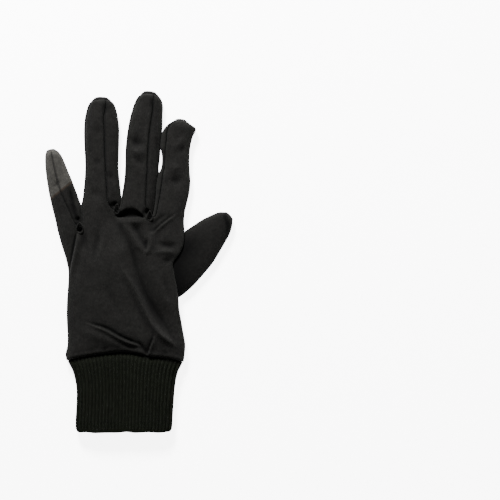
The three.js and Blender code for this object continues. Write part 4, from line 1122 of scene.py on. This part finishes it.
def makeStitch():
    spots, faces = [], []
    start, end = yarn["arm"][0][0], yarn["arm"][-1][0]
    for sign in (-1, 1):
        first = len(spots)
        for along, wide in yarn["arm"]:
            x = sign * mix(*yarn["apart"], (along - start) / (end - start))
            for side, z in ((-1, yarn["foot"]), (0, yarn["crest"]), (1, yarn["foot"])):
                spots.append((x + side * wide, along, z * (wide / yarn["widest"])))
        for k in range(3):
            for a, b in ((0, 1), (1, 2), (2, 0)):
                low = first + k * 3
                faces.append((low + a, low + b, low + 3 + b, low + 3 + a))
        faces.append((first, first + 2, first + 1))
        faces.append((first + 9, first + 10, first + 11))
    return makeObject("stitch", spots, faces)


def stitchPlaces():   # where the stitches are, which way is out of the cuff, and which way their ribs run
    count = ribCount() * cuff["pointsPerRib"]
    start, end = cuff["stitched"]
    rows = round(cuff["long"] * (end - start) / cuff["stitchPitch"])
    places, outs, runs = [], [], []
    rings = [cuffRing(mix(start, end, i / rows), 0, count)[::cuff["pointsPerRib"]] for i in range(rows + 1)]
    for ring, following in zip(rings, rings[1:]):
        run = following - ring
        around = np.roll(ring, -1, axis=0) - np.roll(ring, 1, axis=0)
        out = np.cross(run, around)
        out /= np.linalg.norm(out, axis=1, keepdims=True)
        fromMiddle = (ring - ring.mean(axis=0)) * (1, 0, 1)
        out *= np.sign((out * fromMiddle).sum(axis=1, keepdims=True))
        keep = (out[:, 2] > cuff["stitchesFacing"]) & (ring[:, 2] > cuff["stitchesAbove"])
        places.append(ring[keep])
        outs.append(out[keep])
        runs.append(-run[keep])
    return np.concatenate(places), np.concatenate(outs), np.concatenate(runs)


def stitchNodes():
    group = bpy.data.node_groups.new("rib stitches", "GeometryNodeTree")
    sockets = {}
    for title, kind, value in (("Geometry", "NodeSocketGeometry", None), ("Stitch", "NodeSocketObject", None),
                               ("Smallest", "NodeSocketFloat", yarn["smallest"]),
                               ("Largest", "NodeSocketFloat", yarn["largest"]),
                               ("Seed", "NodeSocketInt", cuff["seed"]),
                               ("Material", "NodeSocketMaterial", None)):
        sockets[title] = group.interface.new_socket(title, in_out="INPUT", socket_type=kind)
        if value is not None:
            sockets[title].default_value = value
    group.interface.new_socket("Geometry", in_out="OUTPUT", socket_type="NodeSocketGeometry")
    nodes, links = group.nodes, group.links
    start, end = nodes.new("NodeGroupInput"), nodes.new("NodeGroupOutput")
    toPoints = nodes.new("GeometryNodeMeshToPoints")
    links.new(start.outputs["Geometry"], toPoints.inputs["Mesh"])
    stitch = nodes.new("GeometryNodeObjectInfo")
    links.new(start.outputs["Stitch"], stitch.inputs["Object"])
    turned = nodes.new("FunctionNodeAxesToRotation")
    turned.primary_axis = "Z"
    turned.secondary_axis = "Y"
    for title, socket in (("outward", "Primary Axis"), ("alongRib", "Secondary Axis")):
        named = nodes.new("GeometryNodeInputNamedAttribute")
        named.data_type = "FLOAT_VECTOR"
        named.inputs["Name"].default_value = title
        links.new(named.outputs["Attribute"], turned.inputs[socket])
    size = nodes.new("FunctionNodeRandomValue")
    size.data_type = "FLOAT"
    links.new(start.outputs["Smallest"], size.inputs[2])
    links.new(start.outputs["Largest"], size.inputs[3])
    links.new(start.outputs["Seed"], size.inputs["Seed"])
    scatter = nodes.new("GeometryNodeInstanceOnPoints")
    links.new(toPoints.outputs["Points"], scatter.inputs["Points"])
    links.new(stitch.outputs["Geometry"], scatter.inputs["Instance"])
    links.new(turned.outputs["Rotation"], scatter.inputs["Rotation"])
    links.new(size.outputs[1], scatter.inputs["Scale"])
    real = nodes.new("GeometryNodeRealizeInstances")
    links.new(scatter.outputs["Instances"], real.inputs["Geometry"])
    cloth = nodes.new("GeometryNodeSetMaterial")
    links.new(real.outputs["Geometry"], cloth.inputs["Geometry"])
    links.new(start.outputs["Material"], cloth.inputs["Material"])
    links.new(cloth.outputs["Geometry"], end.inputs["Geometry"])
    return group, sockets


def addStitches(material):
    spots, outs, runs = stitchPlaces()
    piece = makeObject("cuff_stitches", spots, [])
    for title, values in (("outward", outs), ("alongRib", runs)):
        layer = piece.data.attributes.new(title, "FLOAT_VECTOR", "POINT")
        layer.data.foreach_set("vector", values.ravel())
    stitch = makeStitch()
    group, sockets = stitchNodes()
    knit = piece.modifiers.new("stitches", "NODES")
    knit.node_group = group
    for title, value in (("Stitch", stitch), ("Smallest", yarn["smallest"]), ("Largest", yarn["largest"]),
                         ("Seed", cuff["seed"]), ("Material", material)):
        knit[sockets[title].identifier] = value
    depsgraph = bpy.context.evaluated_depsgraph_get()
    mesh = bpy.data.meshes.new_from_object(piece.evaluated_get(depsgraph))
    mesh.name = piece.name
    piece.modifiers.clear()
    piece.data = mesh
    bpy.data.objects.remove(stitch)
    return piece


# What each point tells the materials: how near it is to a seam, how much painted shade it gets, and how faded
faded = {"start": (-54.75, 69.0), "end": (-40.0, 80.7), "soft": 2.2, "leftOf": -34}
# painted shade on the cuff: underHem is the hem's shadow, groove darkens the grooves between the ribs, ribs
# is a random tone for each rib
cuffShade = {"seamWide": 0.8, "underHem": 0.7, "underHemWide": 1.7, "groove": 0.55, "ribs": 0.7}
# painted shade on the thumb: root is the hand's shadow over its root, beside is a shaded band outside its
# seam
thumbShade = {"seamWide": 0.9, "seamAbove": 1.0, "rootReach": 14, "rootForm": 1.8, "rootTo": (56, 30),
              "besideSeam": 0.85, "besideAt": 1.2, "besideWide": 1.7}
clothShade = {"seamWide": 0.45}


def cuffFacts(spots, ribbed):
    across = (spots[:, 0] / (cuff["wide"] / 2)).clip(-1, 1)
    below = np.array([hemHeight(a) for a in across]) - spots[:, 1]
    near = np.exp(-(below / cuffShade["seamWide"]) ** 2)
    # painted shadow under the hem's edge
    deep = cuffShade["underHem"] * np.exp(-(below / cuffShade["underHemWide"]) ** 2)
    if ribbed:
        ribs = ribCount()
        # painted shade in the grooves between the ribs, mixed with a random tone for each rib
        groove = cuffGroove(ribs * cuff["pointsPerRib"])
        shades = np.random.default_rng(cuff["seed"]).uniform(0, cuffShade["ribs"], ribs)
        groove = np.maximum(groove, np.repeat(shades, cuff["pointsPerRib"]))
        deep = np.maximum(deep, cuffShade["groove"] * np.tile(groove, len(spots) // len(groove)))
    return near, deep


def thumbFacts(spots):
    signed, _ = pathField(smoothPath(thumb["seamPath"]), spots[:, 0], spots[:, 1])
    near = np.exp(-(signed / thumbShade["seamWide"]) ** 2) * (spots[:, 2] > thumbShade["seamAbove"])
    edge = np.array(handEdge())
    # painted shadow of the hand over the thumb's root
    past = (spots[:, 0] - np.interp(spots[:, 1], edge[:, 1], edge[:, 0])).clip(0, None)
    deep = np.exp(-(past / thumbShade["rootReach"]) ** thumbShade["rootForm"])
    deep = deep * smoothStep(*thumbShade["rootTo"], spots[:, 1])
    # painted shade on the band outside the seam, which faces away from the light
    beside = np.exp(-((signed + thumbShade["besideAt"]) / thumbShade["besideWide"]) ** 2)
    return near, np.maximum(deep, thumbShade["besideSeam"] * beside)


def clothFacts(spots):
    closest = [skinTree.find(spot)[1] for spot in spots]
    near = seamShow[closest] * np.exp(-(fromSeam[closest] / clothShade["seamWide"]) ** 2)
    # painted shade of the fold hollows, the pocket, the holes and the spots between seams
    return near, np.maximum(hollowShade, blackShade)[closest]


def pointFacts(name, piece):
    spots = np.zeros(3 * len(piece.data.vertices))
    piece.data.vertices.foreach_get("co", spots)
    spots = spots.reshape(-1, 3) * 1000
    if name == "cuff":
        near, deep = cuffFacts(spots, piece is pieces["cuff"])
    else:
        near, deep = thumbFacts(spots) if name == "thumb" else clothFacts(spots)
    a, b = np.array(faded["start"]), np.array(faded["end"])
    side = np.array((-(b - a)[1], (b - a)[0])) / np.linalg.norm(b - a)
    past = (spots[:, :2] - a) @ side
    grey = smoothStep(-faded["soft"], faded["soft"], past) * (spots[:, 0] < faded["leftOf"])
    for title, values in (("seamNearness", near), ("foldDepth", deep), ("fadedShare", grey)):
        layer = piece.data.attributes.new(title, "FLOAT", "POINT")
        layer.data.foreach_set("value", values)


for name, piece in pieces.items():
    pointFacts(name, piece)


def mathNode(nodes, links, operation, first, second=None):
    node = nodes.new("ShaderNodeMath")
    node.operation = operation
    for socket, value in zip(node.inputs, (first, second)):
        if value is None:
            continue
        if isinstance(value, bpy.types.NodeSocket):
            links.new(value, socket)
        else:
            socket.default_value = value
    return node.outputs[0]


weave = {   # shares of the noises and of the stitches in the height and the shade of the cloth, and how much seams and painted shade darken it
    "waverNoise": (45, 2), "fuzzNoise": (1400, 4), "fuzz": 0.9, "loops": 0.3, "columns": 0.4, "armSlant": 1.2,
    "stitchShade": 0.25, "stitchBase": 0.95, "seamDark": 0.7, "foldDark": 0.96, "bumpDistance": 0.00025,
    "mottle": ((38, 3, 0.5, 0.75), (330, 2, 1.0, 0.5), (900, 3, 1.3, 0.35)),   # scale, detail, gain, base
}


def clothMaterial(name, look):
    material = bpy.data.materials.new(name)
    material.use_nodes = True
    nodes, links = material.node_tree.nodes, material.node_tree.links
    shader = nodes["Principled BSDF"]
    shader.inputs["Roughness"].default_value = look["roughness"]
    shader.inputs["Sheen Weight"].default_value = look["sheen"]
    shader.inputs["Sheen Roughness"].default_value = 0.5
    shader.inputs["Specular IOR Level"].default_value = look["specular"]
    coordinates = nodes.new("ShaderNodeTexCoord").outputs["Object"]

    def noiseAt(scale, detail):
        texture = nodes.new("ShaderNodeTexNoise")
        texture.inputs["Scale"].default_value = scale
        texture.inputs["Detail"].default_value = detail
        links.new(coordinates, texture.inputs["Vector"])
        return texture.outputs["Fac"]

    def fact(title):
        node = nodes.new("ShaderNodeAttribute")
        node.attribute_name = title
        return node.outputs["Fac"]

    def combine(operation, first, second=None):
        return mathNode(nodes, links, operation, first, second)

    def scaled(value, gain, base):
        return combine("ADD", combine("MULTIPLY", value, gain), base)

    # columns of small V stitches, bent a little by a slow noise
    split = nodes.new("ShaderNodeSeparateXYZ")
    links.new(coordinates, split.inputs["Vector"])
    waver = combine("MULTIPLY", noiseAt(*weave["waverNoise"]), look["waver"])
    column = combine("ADD", combine("DIVIDE", split.outputs["X"], look["stitchWide"]), waver)
    arm = combine("PINGPONG", column, 0.5)
    course = combine("DIVIDE", split.outputs["Y"], look["stitchLong"])
    phase = combine("ADD", course, scaled(arm, weave["armSlant"], waver))
    loops = combine("SINE", combine("MULTIPLY", phase, 2 * math.pi))
    columns = combine("SINE", combine("MULTIPLY", arm, 2 * math.pi))
    stitch = scaled(loops, weave["loops"], combine("MULTIPLY", columns, weave["columns"]))
    height = scaled(noiseAt(*weave["fuzzNoise"]), weave["fuzz"], stitch)

    shade = scaled(stitch, weave["stitchShade"], weave["stitchBase"])
    for scale, detail, gain, base in weave["mottle"]:
        shade = combine("MULTIPLY", shade, scaled(noiseAt(scale, detail), gain, base))
    # seams darken the colour, and so does the painted shade of folds, holes, the hem's shadow and the thumb's
    # root
    for title, dark in (("seamNearness", weave["seamDark"]), ("foldDepth", weave["foldDark"])):
        shade = combine("MULTIPLY", shade, scaled(fact(title), -dark, 1))
    worn = nodes.new("ShaderNodeValToRGB")   # black, a brownish border, then grey
    worn.color_ramp.elements.new(0.5)
    for element, place, key in zip(worn.color_ramp.elements, (0.0, 0.4, 0.75),
                                   ("colour", "borderColour", "fadedColour")):
        element.position = place
        element.color = (*look.get(key, look["colour"]), 1)
    links.new(fact("fadedShare"), worn.inputs["Fac"])
    tint = nodes.new("ShaderNodeVectorMath")
    tint.operation = "SCALE"
    links.new(worn.outputs["Color"], tint.inputs[0])
    links.new(shade, tint.inputs["Scale"])
    links.new(tint.outputs[0], shader.inputs["Base Color"])
    bump = nodes.new("ShaderNodeBump")
    bump.inputs["Strength"].default_value = look["bump"]
    bump.inputs["Distance"].default_value = weave["bumpDistance"]
    links.new(height, bump.inputs["Height"])
    links.new(bump.outputs["Normal"], shader.inputs["Normal"])
    return material


stretchKnit = clothMaterial("stretch_knit_black", {
    "colour": (0.0037, 0.0036, 0.0033), "fadedColour": (0.0168, 0.0162, 0.0146),
    "borderColour": (0.0105, 0.0078, 0.0058), "roughness": 0.75, "sheen": 0.015,
    "specular": 0.025, "stitchWide": 0.0008, "stitchLong": 0.00062, "waver": 3.0, "bump": 0.5,
})
ribKnit = clothMaterial("rib_knit_black", {
    "colour": (0.0028, 0.0034, 0.002), "roughness": 0.85, "sheen": 0.01,
    "specular": 0.015, "stitchWide": 0.0009, "stitchLong": 0.0009, "waver": 1.0, "bump": 0.35,
})

stitches = addStitches(ribKnit)
pointFacts("cuff", stitches)
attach(stitches, "root")
print("stitches:", len(stitches.data.polygons))
for name, piece in pieces.items():
    piece.data.materials.clear()
    piece.data.materials.append(ribKnit if name == "cuff" else stretchKnit)
    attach(piece, "root")
    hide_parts(name)


floorLook = {"half": 3, "drop": 0.0003, "white": 0.93, "roughness": 0.9, "glow": 6.0}


def makeStage():
    half, white = floorLook["half"], floorLook["white"]
    corners = [(-half, -half, 0), (half, -half, 0), (half, half, 0), (-half, half, 0)]
    mesh = bpy.data.meshes.new("floor")
    mesh.from_pydata(corners, [], [(0, 1, 2, 3)])
    floor = bpy.data.objects.new("floor", mesh)
    bpy.context.scene.collection.objects.link(floor)
    floor.location = (0, 0, -floorLook["drop"])
    material = bpy.data.materials.new("pale_floor")
    material.use_nodes = True
    shader = material.node_tree.nodes["Principled BSDF"]
    shader.inputs["Base Color"].default_value = (white, white, white, 1)
    shader.inputs["Roughness"].default_value = floorLook["roughness"]
    shader.inputs["Emission Color"].default_value = (1, 1, 1, 1)
    shader.inputs["Emission Strength"].default_value = floorLook["glow"]
    mesh.materials.append(material)


def addLight(name, spot, aim, size, watts):
    light = bpy.data.lights.new(name, "AREA")
    light.shape = "SQUARE"
    light.size = size
    light.energy = watts
    lamp = bpy.data.objects.new(name, light)
    bpy.context.scene.collection.objects.link(lamp)
    lamp.location = spot
    lamp.rotation_euler = (Vector(aim) - Vector(spot)).to_track_quat("-Z", "Y").to_euler()


view = {"centre": (0.0945, 0.03), "field": 0.375, "distance": 1.5, "middle": 0.005, "sensor": 36}
lights = {   # where each stands and points, its size and its watts
    "key": ((-0.25, 1.05, 0.62), (0.01, 0.02, 0), 0.3, 112),
    "fill": ((0.95, -0.1, 0.8), (0.03, 0.03, 0), 0.6, 10),
}
studioGlow = 0.18
cameraData = bpy.data.cameras.new("camera")
cameraData.sensor_width = view["sensor"]
cameraData.lens = view["sensor"] * view["distance"] / view["field"]
camera = bpy.data.objects.new("camera", cameraData)
camera.location = (*view["centre"], view["distance"] + view["middle"])
bpy.context.scene.collection.objects.link(camera)
bpy.context.scene.camera = camera
makeStage()
for name, values in lights.items():
    addLight(name, *values)
world = bpy.data.worlds.new("studio")
world.use_nodes = True
world.node_tree.nodes["Background"].inputs["Color"].default_value = (1, 1, 1, 1)
world.node_tree.nodes["Background"].inputs["Strength"].default_value = studioGlow
bpy.context.scene.world = world

print("scene is ready")
